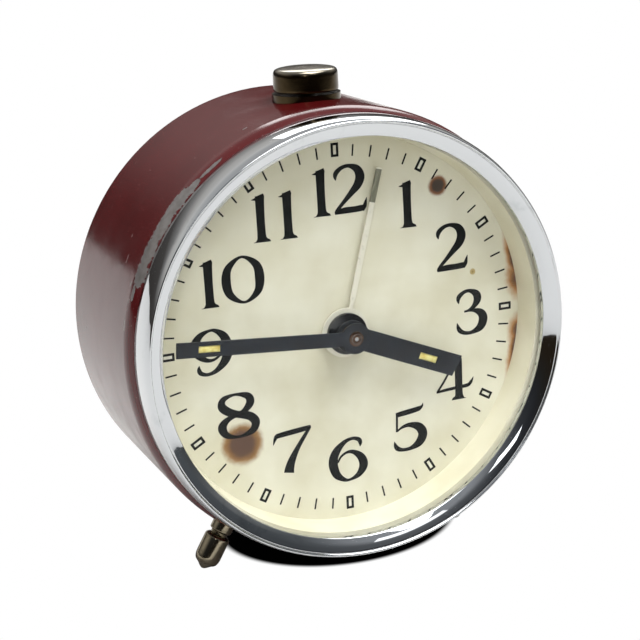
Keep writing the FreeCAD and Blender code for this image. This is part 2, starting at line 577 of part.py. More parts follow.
# ---- back ----
def make_back():
    y, t = back_cover_y, back_cover_t
    cover = turn([(0, y), (43.2, y), (43.2, y - 2.4), (44.1, y - 2.4), (44.1, y + t), (0, y + t)])
    holes = [(centre, 2.2), (alarm_set_at, 2.2), (great_at, 2.6), (alarm_great_at, 2.6), (bell_at, 1.3)]
    holes += [(at, 1.25) for at in cover_screws_at]
    cuts = [rod(r, y - 1, y + t + 1, at) for at, r in holes]
    slot = rod(15.9, y - 1, y + t + 1, balance_at, 13.3)
    keep = stamped([balance_at, polar(balance_at, 30, 72), polar(balance_at, 30, 108)], y - 2, y + t + 2)
    cuts.append(slot.common(keep))
    for ring in range(3):
        for place in range(12):
            at = polar(bell_at, 5.5 + ring * 3.2, place * 30 + ring * 10)
            cuts.append(rod(0.8, y - 1, y + t + 1, at))
    nodes["back_cover"] = cover.cut(Part.makeCompound(cuts)).Solids[0]
    posts, screws = [], []
    for at in cover_screws_at:
        posts.append(rod(2.2, back_plate_y + plate_t, y - 0.02, at, 1.2))
        screw = turn([(0, 37.2), (1.6, 37.2), (2.3, 36.6), (2.3, y + t + 0.02), (1.18, y + t + 0.02),
                      (1.18, 29.0), (0, 29.0)], at)
        screws.append(screw.cut(bar(at, 40, -3, 3, 0.3, 36.7, 38)))
    nodes["back_posts"] = Part.makeCompound(posts)
    nodes["back_screws"] = Part.makeCompound(screws)


def knurled(r, y0, y1, at, ridges):
    """Knob with a domed end and straight ridges around its side."""
    outline = []
    for step in range(ridges * 4):
        angle = 2 * math.pi * step / (ridges * 4)
        swing = r if step % 4 in (0, 1) else r - 0.35
        outline.append((at[0] + swing * math.cos(angle), at[1] + swing * math.sin(angle)))
    body = stamped(outline, y0 + 1.2, y1 - 0.8)
    skirt = turn([(0, y0), (r * 0.55, y0), (r * 0.55, y0 + 1.2), (0, y0 + 1.2)], at)
    cap = turn([(0, y1 - 0.8), (r - 0.4, y1 - 0.8), (r - 1.2, y1), (0, y1)], at)
    return fuse(body, skirt, cap)


def make_knobs_and_keys():
    knob = knurled(5.5, 36.2, 45.0, centre, 30)
    nodes["time_set_knob"] = knob.cut(rod(1.02, 30, 44.02, centre))
    knob = knurled(4.2, 36.2, 44.8, alarm_set_at, 24)
    nodes["alarm_set_knob"] = knob.cut(rod(1.02, 30, 44.02, alarm_set_at))
    for name, at, span in (("time_key", great_at, 10.5), ("alarm_key", alarm_great_at, 9.0)):
        hub = turn([(0, 36.4), (3.0, 36.4), (3.2, 37.2), (3.2, 41.5), (2.4, 42.3), (0, 42.3)], at)
        wings = []
        for side in (-1, 1):
            profile = [(0, 40.0), (span * 0.45, 40.6), (span * 0.85, 41.6), (span, 44.2),
                       (span * 0.95, 47.0), (span * 0.72, 49.0), (span * 0.42, 48.6), (span * 0.2, 46.4),
                       (0, 45.6)]
            points = [V(at[0] + side * u, v, at[1] - 0.8) for u, v in profile]
            face = Part.Face(Part.makePolygon(points + points[:1]))
            wings.append(face.extrude(V(0, 0, 1.6)))
        key = fuse(hub, *wings)
        key = key.cut(rod(1.82, 30, 40.02, at)).cut(rod(1.22, 39, 46.02, at))
        nodes[name] = key.Solids[0] if len(key.Solids) == 1 else key


# ---- stance ----
def lean_angle():
    """Lean at which both foot balls and the rounded rear rim touch one level surface."""
    rim_ball = drum_wall / 2
    foot_drop = (foot_tip_r - foot_ball_r) * math.cos(math.radians(foot_clock))
    rise = foot_drop - (drum_r - rim_ball)
    run_back = (drum_rear_y - rim_ball) - foot_y
    return math.acos((rim_ball - foot_ball_r) / math.hypot(rise, run_back)) - math.atan2(run_back, rise)


def stand_up():
    """Lean every piece back, put the lowest point at z = 0 and the box's middle on the z axis."""
    lean = math.degrees(lean_angle())
    for shape in nodes.values():
        shape.rotate(V(0, 0, 0), V(1, 0, 0), -lean)
    box = Part.makeCompound(list(nodes.values())).optimalBoundingBox(False, False)
    shift = V(-(box.XMin + box.XMax) / 2, -(box.YMin + box.YMax) / 2, -box.ZMin)
    for shape in nodes.values():
        shape.translate(shift)
    print("lean %.4f degrees, shift %.4f %.4f %.4f mm" % (lean, shift.x, shift.y, shift.z))
    print("size %.2f x %.2f x %.2f mm" % (box.XLength, box.YLength, box.ZLength))


make_case()
make_feet()
make_button()
make_hands()
make_motion_work()
make_plates()
make_train()
make_escapement()
make_alarm_train()
make_bell()
make_back()
make_knobs_and_keys()
stand_up()
os.makedirs("parts", exist_ok=True)
for node_name, shape in nodes.items():
    solid_count = len(shape.Solids)
    if solid_count == 0 or not shape.isValid():
        print("PROBLEM", node_name, solid_count, shape.isValid())
    shape.exportStep("parts/" + node_name + ".step")
print(len(nodes), "nodes written")
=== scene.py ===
import json
import math

import bmesh
import bpy
import numpy as np
from mathutils import Matrix


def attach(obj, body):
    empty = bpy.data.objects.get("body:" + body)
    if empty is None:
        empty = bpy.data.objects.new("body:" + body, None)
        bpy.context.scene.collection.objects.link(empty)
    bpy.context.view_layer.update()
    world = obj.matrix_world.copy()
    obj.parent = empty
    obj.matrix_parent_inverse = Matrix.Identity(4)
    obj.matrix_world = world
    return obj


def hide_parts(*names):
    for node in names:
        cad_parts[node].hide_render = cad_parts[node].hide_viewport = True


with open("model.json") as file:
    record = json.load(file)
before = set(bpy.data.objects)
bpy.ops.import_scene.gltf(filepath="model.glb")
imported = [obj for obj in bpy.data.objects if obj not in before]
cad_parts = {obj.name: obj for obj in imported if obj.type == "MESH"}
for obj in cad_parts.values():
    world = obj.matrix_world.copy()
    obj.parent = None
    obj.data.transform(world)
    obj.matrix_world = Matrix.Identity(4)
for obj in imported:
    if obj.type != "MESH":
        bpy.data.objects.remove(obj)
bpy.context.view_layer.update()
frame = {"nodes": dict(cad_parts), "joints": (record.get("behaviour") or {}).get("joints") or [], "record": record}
nodes = frame["nodes"]

# Clock axes, in millimetres: x to 3 o'clock, y from the dial's face to the back, z to 12 o'clock.
mm = 0.001
hingeDepth = 12.0                       # every hinge point lies this far behind the dial's face
handJoint = next(j for j in frame["joints"] if j["name"] == "minute_turn")
backward = np.array(handJoint["axis"], float)
upward = np.array([0.0, -backward[2], backward[1]])
clockAxes = np.array([[1.0, 0.0, 0.0], backward, upward])
dialCentre = np.array(handJoint["pos_m"], float) - hingeDepth * mm * backward
lean = math.atan2(-backward[2], backward[1])


def toFrame(points):
    # clock millimetres to frame metres: centre + x right + y backward + z upward
    return dialCentre + (np.asarray(points, float) * mm) @ clockAxes


def onClock(points, degrees):
    # turns what is drawn at 12 o'clock clockwise round y: x becomes x cos a + z sin a, and z becomes
    # z cos a - x sin a
    c, s = math.cos(math.radians(degrees)), math.sin(math.radians(degrees))
    x, y, z = np.moveaxis(np.asarray(points, float), -1, 0)
    return np.stack([x * c + z * s, y, z * c - x * s], -1)


# Shapes: each is a grid of points (in clock millimetres) with its quads and closing triangles.
def gridShape(grid, closeU=False, closeV=False, capEnds=False, poles=None):
    # quads between neighbours of grid[u, v]; closeU and closeV join the last line to the first, and capEnds
    # closes the first and the last u line with a fan round its pole, or else its mean point
    m, n = grid.shape[:2]
    u = np.arange(m if closeU else m - 1)[:, None]
    v = np.arange(n if closeV else n - 1)[None, :]
    near, far, ahead = u * n, (u + 1) % m * n, (v + 1) % n
    quads = np.stack([near + v, far + v, far + ahead, near + ahead], -1).reshape(-1, 4)
    points, fans = grid.reshape(-1, 3), np.zeros((0, 3), int)
    if capEnds:
        low = np.arange(n if closeV else n - 1)
        high, last, total = (low + 1) % n, (m - 1) * n, len(points)
        points = np.vstack([points, *(poles if poles is not None else (grid[0].mean(0), grid[-1].mean(0)))])
        fans = np.vstack([np.stack([low, high, np.full_like(low, total)], -1),
                          np.stack([last + high, last + low, np.full_like(low, total + 1)], -1)])
    return points, quads, fans


def turnedShape(profile, origin=(0, 0, 0), along=(0, 1, 0), steps=180, closed=False, ridge=None):
    # a profile of (radius, height) turned round an axis: origin + r (cos u across + sin u side) + h along;
    # it is closed, or starts and ends on the axis; ridge(u, r, h) may change the radius
    along = np.array(along, float) / np.linalg.norm(along)
    across = np.cross(along, [0.0, 0.0, 1.0] if abs(along[2]) < 0.9 else [0.0, 1.0, 0.0])
    across = across / np.linalg.norm(across)
    side = np.cross(along, across)
    profile = np.asarray(profile, float)
    poles = None if closed else np.array(origin, float) + profile[[0, -1], 1:] * along
    u = np.linspace(0, 2 * math.pi, steps, endpoint=False)[None, :, None]
    r, h = np.split((profile if closed else profile[1:-1])[:, None, :], 2, axis=2)
    r = ridge(u, r, h) if ridge else r
    grid = np.array(origin, float) + r * (np.cos(u) * across + np.sin(u) * side) + h * along
    return gridShape(grid, closeU=closed, closeV=True, capEnds=not closed, poles=poles)


def roundedProfile(points, radius, steps=4, closed=False):
    # each corner becomes a short parabola (1-t)^2 a + 2t(1-t) corner + t^2 c, where a and c lie up to radius
    # away along its two sides
    corners = np.asarray(points, float)
    before, after = np.roll(corners, 1, 0), np.roll(corners, -1, 0)
    if not closed:
        before[0], after[-1] = corners[0], corners[-1]
    reach = np.broadcast_to(np.asarray(radius, float), (len(corners),))[:, None]
    ends = []
    for other in (before, after):
        length = np.maximum(np.linalg.norm(other - corners, axis=1, keepdims=True), 1e-9)
        ends.append(corners + (other - corners) * np.minimum(reach / length, 0.45))
    t = np.linspace(0, 1, steps + 1)[None, :, None]
    curve = (1 - t) ** 2 * ends[0][:, None] + 2 * t * (1 - t) * corners[:, None] + t ** 2 * ends[1][:, None]
    curve = curve.reshape(-1, 2)
    keep = np.append(True, np.linalg.norm(np.diff(curve, axis=0), axis=1) > 1e-6)
    return curve[keep]


def placePiece(name, mesh, material, body, stands=()):
    piece = bpy.data.objects.new(name, mesh)
    bpy.context.scene.collection.objects.link(piece)
    mesh.materials.clear()
    mesh.materials.append(material)
    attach(piece, body)
    if stands:
        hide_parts(*stands)
    return piece


def makePiece(name, shapes, material, body, stands=(), crease=35.0):
    # joins shapes into one mesh, each turned so that its faces point outwards (its volume comes out positive)
    points, faces, start = [], [], 0
    for corners, quads, fans in shapes:
        tris = np.vstack([quads[:, [0, 1, 2]], quads[:, [0, 2, 3]], fans])
        a, b, c = (corners[tris[:, k]] - corners.mean(0) for k in range(3))
        if (a * np.cross(b, c)).sum() < 0:
            quads, fans = quads[:, ::-1], fans[:, ::-1]
        points.append(corners)
        faces += (quads + start).tolist() + (fans + start).tolist()
        start += len(corners)
    mesh = bpy.data.meshes.new(name)
    mesh.from_pydata(toFrame(np.vstack(points)).tolist(), [], faces)
    mesh.shade_smooth()
    mesh.set_sharp_from_angle(angle=math.radians(crease))
    return placePiece(name, mesh, material, body, stands)


def softened(name, node, width, material, body):
    # copy of a stamped CAD piece: seams merged, flat faces joined, sharp edges rounded by width millimetres
    mesh = nodes[node].data.copy()
    mesh.name = name
    shape = bmesh.new()
    shape.from_mesh(mesh)
    bmesh.ops.remove_doubles(shape, verts=shape.verts, dist=1e-6)
    bmesh.ops.dissolve_limit(shape, angle_limit=math.radians(1), verts=shape.verts, edges=shape.edges)
    hard = [e for e in shape.edges if len(e.link_faces) == 2 and e.calc_face_angle() > math.radians(40)]
    bmesh.ops.bevel(shape, geom=hard, offset=width * mm, segments=2, profile=0.6, affect="EDGES",
                    clamp_overlap=True)
    bmesh.ops.triangulate(shape, faces=[f for f in shape.faces if len(f.verts) > 4])
    shape.to_mesh(mesh)
    shape.free()
    mesh.shade_smooth()
    mesh.set_sharp_from_angle(angle=math.radians(50))
    return placePiece(name, mesh, material, body, (node,))


# Materials: colours are sRGB hex, and patterns are drawn in clock millimetres.
def linearColour(hexCode):
    s = np.array([int(hexCode[k:k + 2], 16) for k in (1, 3, 5)]) / 255.0
    return (*np.where(s <= 0.04045, s / 12.92, ((s + 0.055) / 1.055) ** 2.4).tolist(), 1.0)


def addNode(tree, kind, inputs=None, **settings):
    # adds a node and fills its inputs; a node given as an input stands for its first usable output, a hex
    # code for its colour, and a name for the first usable socket of that name
    node = tree.nodes.new("ShaderNode" + kind)
    for name, value in settings.items():
        setattr(node, name, value)
    for name, source in (inputs or {}).items():
        socket = node.inputs[name] if isinstance(name, int) else next(
            s for s in node.inputs if s.enabled and s.name == name)
        if isinstance(source, bpy.types.Node):
            source = next(s for s in source.outputs if s.enabled)
        if isinstance(source, bpy.types.NodeSocket):
            tree.links.new(source, socket)
        else:
            socket.default_value = linearColour(source) if isinstance(source, str) else source
    return node


def startMaterial(name, **values):
    # a Principled shader with constant values on its own sockets, and the clock-millimetre coordinates
    material = bpy.data.materials.new(name)
    material.use_nodes = True
    tree = material.node_tree
    shader = tree.nodes["Principled BSDF"]
    for socket, value in values.items():
        value = linearColour(value) if isinstance(value, str) else value
        shader.inputs[socket.replace("_", " ")].default_value = value
    place = addNode(tree, "Mapping",
                    {"Vector": addNode(tree, "TexCoord").outputs["Object"], "Location": dialCentre.tolist(),
                     "Rotation": (-lean, 0, 0), "Scale": (mm, mm, mm)}, vector_type="TEXTURE")
    return material, tree, shader, place


def feed(tree, shader, **sources):
    # links each source to the shader's socket of that name
    for socket, source in sources.items():
        if isinstance(source, bpy.types.Node):
            source = next(output for output in source.outputs if output.enabled)
        tree.links.new(source, shader.inputs[socket.replace("_", " ")])


def scratches(tree, place, length, width, share, turn=(0, 0, 0)):
    # thin broken lines: noise stretched along z, kept only where it peaks; share is how much of it shows
    laid = addNode(tree, "Mapping", {"Vector": place, "Rotation": turn,
                                     "Scale": (1 / width, 1 / width, 1 / length)})
    lines = addNode(tree, "TexNoise", {"Vector": laid, "Scale": 1.0, "Detail": 1.0})
    return addNode(tree, "MapRange", {"Value": lines, "From Min": 0.80 - share, "From Max": 0.86 - share})


def patches(tree, place, spots, ragged, grainSize):
    # ragged ellipses: for each spot the distance to its middle, measured in its own half sizes, plus noise;
    # below 1 is inside, and the nearest spot counts. A spot is its middle, half sizes and turn round y
    noise = addNode(tree, "TexNoise",
                    {"Vector": place, "Scale": 1 / grainSize, "Detail": 4.0, "Roughness": 0.6})
    nearest = None
    for middle, halves, turn in spots:
        own = addNode(tree, "Mapping", {"Vector": place, "Location": middle, "Scale": halves,
                                        "Rotation": (0, math.radians(turn), 0)}, vector_type="TEXTURE")
        far = addNode(tree, "VectorMath", {0: own}, operation="LENGTH").outputs["Value"]
        nearest = far if nearest is None else addNode(tree, "Math", {0: nearest, 1: far}, operation="MINIMUM")
    wander = addNode(tree, "Math", {0: noise, 1: ragged, 2: -0.5 * ragged}, operation="MULTIPLY_ADD")
    return addNode(tree, "Math", {0: nearest, 1: wander})


# Stove enamel on steel: a glossy even skin that shows the steel where the front edge has knocked.
enamel = {
    "colour": "#5a1013", "shade": "#430b0d", "steel": "#a29f9d", "stain": "#6f6967", "dust": "#9c7f7c",
    "chips": [  # clock degrees, half length along the rim, y, half width, all in millimetres but the first
        (317.5, 2.6, -3.0, 0.9), (312.0, 4.4, -2.4, 1.75), (305.5, 4.8, -2.5, 1.7), (299.0, 4.4, -2.4, 1.65),
        (293.5, 3.2, -2.5, 1.75), (288.3, 1.8, -1.8, 0.55), (324.0, 3.0, -2.9, 0.4),
        (280.0, 1.35, -0.35, 0.34), (286.0, 0.5, -0.9, 0.3), (284.0, 0.35, -0.7, 0.22),
        (290.0, 0.6, 0.1, 0.3), (236.0, 3.5, -0.75, 0.22), (246.0, 2.6, -0.6, 0.16),
        # the entry at 352 degrees paints a thin line of bare steel along the front edge under the button
        (256.0, 2.0, -0.6, 0.16), (352.0, 3.4, -1.6, 0.2),
        (338.0, 0.7, 3.2, 0.24), (294.5, 0.9, 6.5, 0.12), (300.0, 0.4, 9.0, 0.14), (271.0, 0.35, 27.0, 0.3),
        (75.0, 2.4, -0.9, 0.35), (88.0, 1.0, -0.6, 0.4), (110.0, 1.6, -0.8, 0.25), (40.0, 0.8, 22.0, 0.2),
        (140.0, 0.6, 35.6, 0.5), (62.0, 1.6, 35.7, 0.4), (300.0, 2.0, 35.7, 0.35), (205.0, 0.9, 35.6, 0.5)],
    "rimR": 44.8, "depth": 1.4, "ragged": 1.1, "grain": 0.8,
    "clouds": 18.0, "dustSpecks": 0.55, "wiping": 6.0, "orangePeel": 1.6,      # sizes of its patterns
}


def stoveEnamel():
    material, tree, shader, place = startMaterial("stoveEnamel", IOR=1.5)
    spots = []
    for degrees, halfLength, y, halfWidth in enamel["chips"]:
        middle = onClock((0, y, enamel["rimR"]), degrees)
        spots.append((middle.tolist(), (halfLength, halfWidth, enamel["depth"]), degrees))
    edge = patches(tree, place, spots, enamel["ragged"], enamel["grain"])
    bare = addNode(tree, "MapRange", {"Value": edge, "From Min": 1.0, "From Max": 0.86})
    cloud = addNode(tree, "TexNoise", {"Vector": place, "Scale": 1 / enamel["clouds"], "Detail": 3.0})
    paint = addNode(tree, "Mix", {"Factor": cloud, "A": enamel["colour"], "B": enamel["shade"]},
                    data_type="RGBA")
    specks = addNode(tree, "TexNoise", {"Vector": place, "Scale": 1 / enamel["dustSpecks"], "Detail": 2.0})
    dusty = addNode(tree, "MapRange", {"Value": specks, "From Min": 0.70, "From Max": 0.80, "To Max": 0.55})
    paint = addNode(tree, "Mix", {"Factor": dusty, "A": paint, "B": enamel["dust"]}, data_type="RGBA")
    hair = scratches(tree, place, 5.0, 0.16, 0.03)
    paint = addNode(tree, "Mix", {"Factor": hair, "A": paint, "B": enamel["dust"]}, data_type="RGBA")
    stain = addNode(tree, "TexNoise", {"Vector": place, "Scale": 1 / 1.2, "Detail": 5.0})
    metal = addNode(tree, "Mix", {"Factor": stain, "A": enamel["stain"], "B": enamel["steel"]},
                    data_type="RGBA")
    colour = addNode(tree, "Mix", {"Factor": bare, "A": paint, "B": metal}, data_type="RGBA")
    wipe = addNode(tree, "TexNoise", {"Vector": place, "Scale": 1 / enamel["wiping"], "Detail": 4.0})
    gloss = addNode(tree, "MapRange", {"Value": wipe, "From Min": 0.3, "From Max": 0.7,
                                       "To Min": 0.10, "To Max": 0.20})
    rough = addNode(tree, "Mix", {"Factor": bare, "A": gloss, "B": 0.38}, data_type="FLOAT")
    peel = addNode(tree, "TexNoise", {"Vector": place, "Scale": 1 / enamel["orangePeel"], "Detail": 1.0})
    height = addNode(tree, "Math", {0: peel, 1: 0.06, 2: 0.0}, operation="MULTIPLY_ADD")
    height = addNode(tree, "Math", {0: height, 1: bare}, operation="SUBTRACT")
    bump = addNode(tree, "Bump", {"Height": height, "Distance": 0.12 * mm, "Strength": 0.8})
    metallic = addNode(tree, "Math", {0: bare, 1: 0.75}, operation="MULTIPLY")
    feed(tree, shader, Base_Color=colour, Roughness=rough, Metallic=metallic, Normal=bump)
    return material


def platedMetal(name, bright, dull, tarnish, spread, glossy, worn, marks=0.02, specks=0.0):
    # plated or bare metal: untarnished metal clouded with tarnish in patches about spread millimetres across, fine
    # handling scratches, and rust specks where specks is above 0; glossy and worn are its two roughnesses
    material, tree, shader, place = startMaterial(name, Metallic=1.0)
    cloud = addNode(tree, "TexNoise",
                    {"Vector": place, "Scale": 1 / spread, "Detail": 5.0, "Roughness": 0.62})
    share = addNode(tree, "MapRange",
                    {"Value": cloud, "From Min": 0.62 - tarnish, "From Max": 0.82 - tarnish})
    colour = addNode(tree, "Mix", {"Factor": share, "A": bright, "B": dull}, data_type="RGBA")
    hair = scratches(tree, place, 4.0, 0.1, marks)
    cross = scratches(tree, place, 3.0, 0.12, marks, (0.4, 0.9, 0.3))
    lines = addNode(tree, "Math", {0: hair, 1: cross}, operation="MAXIMUM")
    rough = addNode(tree, "Mix", {"Factor": share, "A": glossy, "B": worn}, data_type="FLOAT")
    rough = addNode(tree, "Math", {0: lines, 1: 0.12, 2: rough}, operation="MULTIPLY_ADD")
    if specks > 0:
        rust = addNode(tree, "TexNoise",
                       {"Vector": place, "Scale": 1 / 0.9, "Detail": 6.0, "Roughness": 0.7})
        rusty = addNode(tree, "MapRange",
                        {"Value": rust, "From Min": 0.76 - specks, "From Max": 0.84 - specks})
        colour = addNode(tree, "Mix", {"Factor": rusty, "A": colour, "B": "#4a2a17"}, data_type="RGBA")
        rough = addNode(tree, "Math", {0: rusty, 1: 0.4, 2: rough}, operation="MULTIPLY_ADD")
    bump = addNode(tree, "Bump", {"Height": lines, "Distance": 0.012 * mm, "Strength": 0.5}, invert=True)
    feed(tree, shader, Base_Color=colour, Roughness=rough, Normal=bump)
    return material


# Chromium plate on pressed brass: a near mirror, faintly blue, with thin rubbing marks.
def chromiumPlate():
    return platedMetal("chromiumPlate", "#cfd2d5", "#b6babd", 0.05, 7.0, 0.035, 0.09, marks=0.015)


# Old nickel plate: yellowed and browned where fingers or the table have been, half mirror and half satin.
def tarnishedNickel():
    return platedMetal("tarnishedNickel", "#9c937e", "#5f5643", 0.16, 3.0, 0.13, 0.3, marks=0.03, specks=0.02)


# Button nickel with painted light: the crown is painted pale, as if lit from above, and the side is painted dark
# brown, partly tarnish from fingers and partly painted shade for the dark room that it reflects.
buttonTarnishAndPaintedLight = {"crown": "#a09a8c", "side": "#524631", "dark": "#372d1f", "from": 49.9, "to": 50.9}


def paintedLightNickel():
    material, tree, shader, place = startMaterial("paintedLightNickel", Metallic=1.0)
    # painted light: pale above z 49.9 to 50.9 as if lit from above, and the side below painted dark brown as shade
    # and tarnish
    height = addNode(tree, "SeparateXYZ", {"Vector": place}).outputs["Z"]
    litCrownShare = addNode(tree, "MapRange", {"Value": height, "From Min": buttonTarnishAndPaintedLight["from"],
                                       "From Max": buttonTarnishAndPaintedLight["to"]}, interpolation_type="SMOOTHSTEP")
    cloud = addNode(tree, "TexNoise", {"Vector": place, "Scale": 1 / 2.2, "Detail": 5.0, "Roughness": 0.6})
    brown = addNode(tree, "Mix", {"Factor": cloud, "A": buttonTarnishAndPaintedLight["side"], "B": buttonTarnishAndPaintedLight["dark"]},
                    data_type="RGBA")
    colour = addNode(tree, "Mix", {"Factor": litCrownShare, "A": brown, "B": buttonTarnishAndPaintedLight["crown"]}, data_type="RGBA")
    rough = addNode(tree, "MapRange", {"Value": cloud, "To Min": 0.1, "To Max": 0.3})
    feed(tree, shader, Base_Color=colour, Roughness=rough)
    return material


# Nickel-plated sheet: rolled satin metal, dulled to a warm grey with a few rust specks.
def nickelSheet():
    return platedMetal("nickelSheet", "#b9b4a8", "#8c8474", 0.12, 9.0, 0.24, 0.36, marks=0.03, specks=0.04)


# Nickel-plated brass knobs: the plate has rubbed through to yellow brass in places.
def rubbedNickelBrass():
    return platedMetal("rubbedNickelBrass", "#c2b9a2", "#a3864e", 0.12, 2.6, 0.18, 0.32, marks=0.03)


# Stamped clock brass under old lacquer: warm yellow, satin, slightly browned.
def lacqueredBrass():
    return platedMetal("lacqueredBrass", "#c9a256", "#94713a", 0.10, 6.0, 0.22, 0.36, marks=0.03)


# Turned steel: neutral grey with fine tool marks.
def turnedSteel():
    return platedMetal("turnedSteel", "#a9a9aa", "#7d7b78", 0.10, 3.0, 0.2, 0.34, marks=0.04, specks=0.02)


# Blued spring steel: dark violet-blue oxide, smooth.
def bluedSteel():
    return platedMetal("bluedSteel", "#3b4258", "#2a2a38", 0.10, 5.0, 0.2, 0.32)


# Pressed bell steel: cold grey and slightly oily.
def bellSteel():
    return platedMetal("bellSteel", "#8f8f92", "#6a6866", 0.12, 8.0, 0.22, 0.38, specks=0.03)


# Cream printing paint on a steel dial: matt, yellowed, with rust that has come through from behind.
dialPaint = {
    "cream": "#dbd8c6", "old": "#cbc6ae", "foxing": "#b9ad86", "roughness": 0.5,
    "stains": [  # x, z, radius, core colour, rim colour, core share
        (-22.3, -19.9, 4.0, "#46210f", "#84591f", 0.62), (21.8, 26.8, 1.95, "#260b04", "#7c4416", 0.62),
        (29.1, 8.2, 0.62, "#8a7038", "#a8925c", 0.3)],
    "rust": [  # clock degrees and half length in millimetres of rust along the dial's edge
        (76.0, 6.6, 1.4), (82.0, 4.4, 2.4), (103.0, 7.6, 1.4), (98.0, 3.6, 2.1)],
    "rustR": 39.35,
}


def agedDialPaint():
    material, tree, shader, place = startMaterial("agedDialPaint", IOR=1.48)
    cloud = addNode(tree, "TexNoise", {"Vector": place, "Scale": 1 / 14.0, "Detail": 4.0, "Roughness": 0.55})
    share = addNode(tree, "MapRange", {"Value": cloud, "From Min": 0.35, "From Max": 0.68})
    colour = addNode(tree, "Mix", {"Factor": share, "A": dialPaint["cream"], "B": dialPaint["old"]},
                     data_type="RGBA")
    fine = addNode(tree, "TexNoise", {"Vector": place, "Scale": 1 / 0.7, "Detail": 3.0})
    foxed = addNode(tree, "MapRange", {"Value": fine, "From Min": 0.66, "From Max": 0.84, "To Max": 0.5})
    colour = addNode(tree, "Mix", {"Factor": foxed, "A": colour, "B": dialPaint["foxing"]}, data_type="RGBA")
    for x, z, radius, core, rim, coreShare in dialPaint["stains"]:
        edge = patches(tree, place, [((x, 0, z), (radius, radius, radius), 0)], 0.35, 1.6)
        halo = addNode(tree, "MapRange", {"Value": edge, "From Min": 1.22, "From Max": 0.82, "To Max": 0.95},
                       interpolation_type="SMOOTHSTEP")
        heart = addNode(tree, "MapRange", {"Value": edge, "From Min": coreShare + 0.32,
                                           "From Max": coreShare - 0.12}, interpolation_type="SMOOTHSTEP")
        brown = addNode(tree, "Mix", {"Factor": heart, "A": rim, "B": core}, data_type="RGBA")
        colour = addNode(tree, "Mix", {"Factor": halo, "A": colour, "B": brown}, data_type="RGBA")
    spots = [(onClock((0, 0, dialPaint["rustR"]), degrees).tolist(), (half, 2.0, wide), degrees)
             for degrees, half, wide in dialPaint["rust"]]
    edge = patches(tree, place, spots, 0.5, 1.4)
    seep = addNode(tree, "MapRange", {"Value": edge, "From Min": 1.25, "From Max": 0.45, "To Max": 0.95},
                   interpolation_type="SMOOTHSTEP")
    dark = addNode(tree, "MapRange", {"Value": edge, "From Min": 0.7, "From Max": 0.1},
                   interpolation_type="SMOOTHSTEP")
    rust = addNode(tree, "Mix", {"Factor": dark, "A": "#a86f30", "B": "#4c2208"}, data_type="RGBA")
    colour = addNode(tree, "Mix", {"Factor": seep, "A": colour, "B": rust}, data_type="RGBA")
    tooth = addNode(tree, "TexNoise", {"Vector": place, "Scale": 1 / 0.25, "Detail": 2.0})
    bump = addNode(tree, "Bump", {"Height": tooth, "Distance": 0.012 * mm, "Strength": 0.6})
    rough = addNode(tree, "MapRange", {"Value": fine, "To Min": dialPaint["roughness"] - 0.08,
                                       "To Max": dialPaint["roughness"] + 0.12})
    feed(tree, shader, Base_Color=colour, Roughness=rough, Normal=bump)
    return material


def speckledPaint(name, colour, other, spread, roughness, **values):
    # plain paint with a second shade in soft patches and a little tooth
    material, tree, shader, place = startMaterial(name, **values)
    cloud = addNode(tree, "TexNoise", {"Vector": place, "Scale": 1 / spread, "Detail": 4.0})
    share = addNode(tree, "MapRange", {"Value": cloud, "From Min": 0.38, "From Max": 0.66})
    mixed = addNode(tree, "Mix", {"Factor": share, "A": colour, "B": other}, data_type="RGBA")
    tooth = addNode(tree, "TexNoise", {"Vector": place, "Scale": 1 / 0.3, "Detail": 2.0})
    bump = addNode(tree, "Bump", {"Height": tooth, "Distance": 0.01 * mm, "Strength": 0.5})
    rough = addNode(tree, "MapRange",
                    {"Value": cloud, "To Min": roughness - 0.06, "To Max": roughness + 0.08})
    feed(tree, shader, Base_Color=mixed, Roughness=rough, Normal=bump)
    return material


# Satin cream paint on the flange: smoother and yellower than the dial.
def flangePaint():
    return speckledPaint("flangePaint", "#e9e4cf", "#dfd9c0", 11.0, 0.34)


# Blue-black lacquer on the stamped hands: dull, with a cold cast.
def handLacquer():
    return speckledPaint("handLacquer", "#1b1f26", "#15171c", 3.0, 0.42, Specular_IOR_Level=0.35)


# Gloss black lacquer on the hub.
def hubLacquer():
    return speckledPaint("hubLacquer", "#0b0b0e", "#121216", 2.0, 0.12, IOR=1.52)


# Printing ink: flat and almost black.
def dialInk():
    return speckledPaint("dialInk", "#0d0e0f", "#151617", 1.5, 0.5, Specular_IOR_Level=0.2)


# Old luminous paint: chalky, yellow-green gone to straw.
def luminousPaint():
    return speckledPaint("luminousPaint", "#d9d089", "#c2ab55", 1.1, 0.8)


# Silvered aluminium, painted greyer in a strip from 26.4 to 33 mm out, along the groove near the tip of the alarm
# hand.
alarmFinish = {"pale": "#dedaca", "worn": "#a9a492", "strip": "#7e7d6c", "from": 26.4, "to": 33.0}


def silveredHand():
    material, tree, shader, place = startMaterial("silveredHand", Metallic=0.25)
    far = addNode(tree, "VectorMath", {0: place}, operation="LENGTH").outputs["Value"]
    begin = addNode(tree, "Math", {0: far, 1: alarmFinish["from"]}, operation="GREATER_THAN")
    stop = addNode(tree, "Math", {0: far, 1: alarmFinish["to"]}, operation="LESS_THAN")
    strip = addNode(tree, "Math", {0: begin, 1: stop}, operation="MULTIPLY")
    fine = addNode(tree, "TexNoise", {"Vector": place, "Scale": 1 / 0.8, "Detail": 4.0})
    share = addNode(tree, "MapRange", {"Value": fine, "From Min": 0.58, "From Max": 0.85})
    worn = addNode(tree, "Mix", {"Factor": share, "A": alarmFinish["pale"], "B": alarmFinish["worn"]},
                   data_type="RGBA")
    colour = addNode(tree, "Mix", {"Factor": strip, "A": worn, "B": alarmFinish["strip"]}, data_type="RGBA")
    rough = addNode(tree, "MapRange", {"Value": fine, "To Min": 0.28, "To Max": 0.5})
    feed(tree, shader, Base_Color=colour, Roughness=rough)
    return material


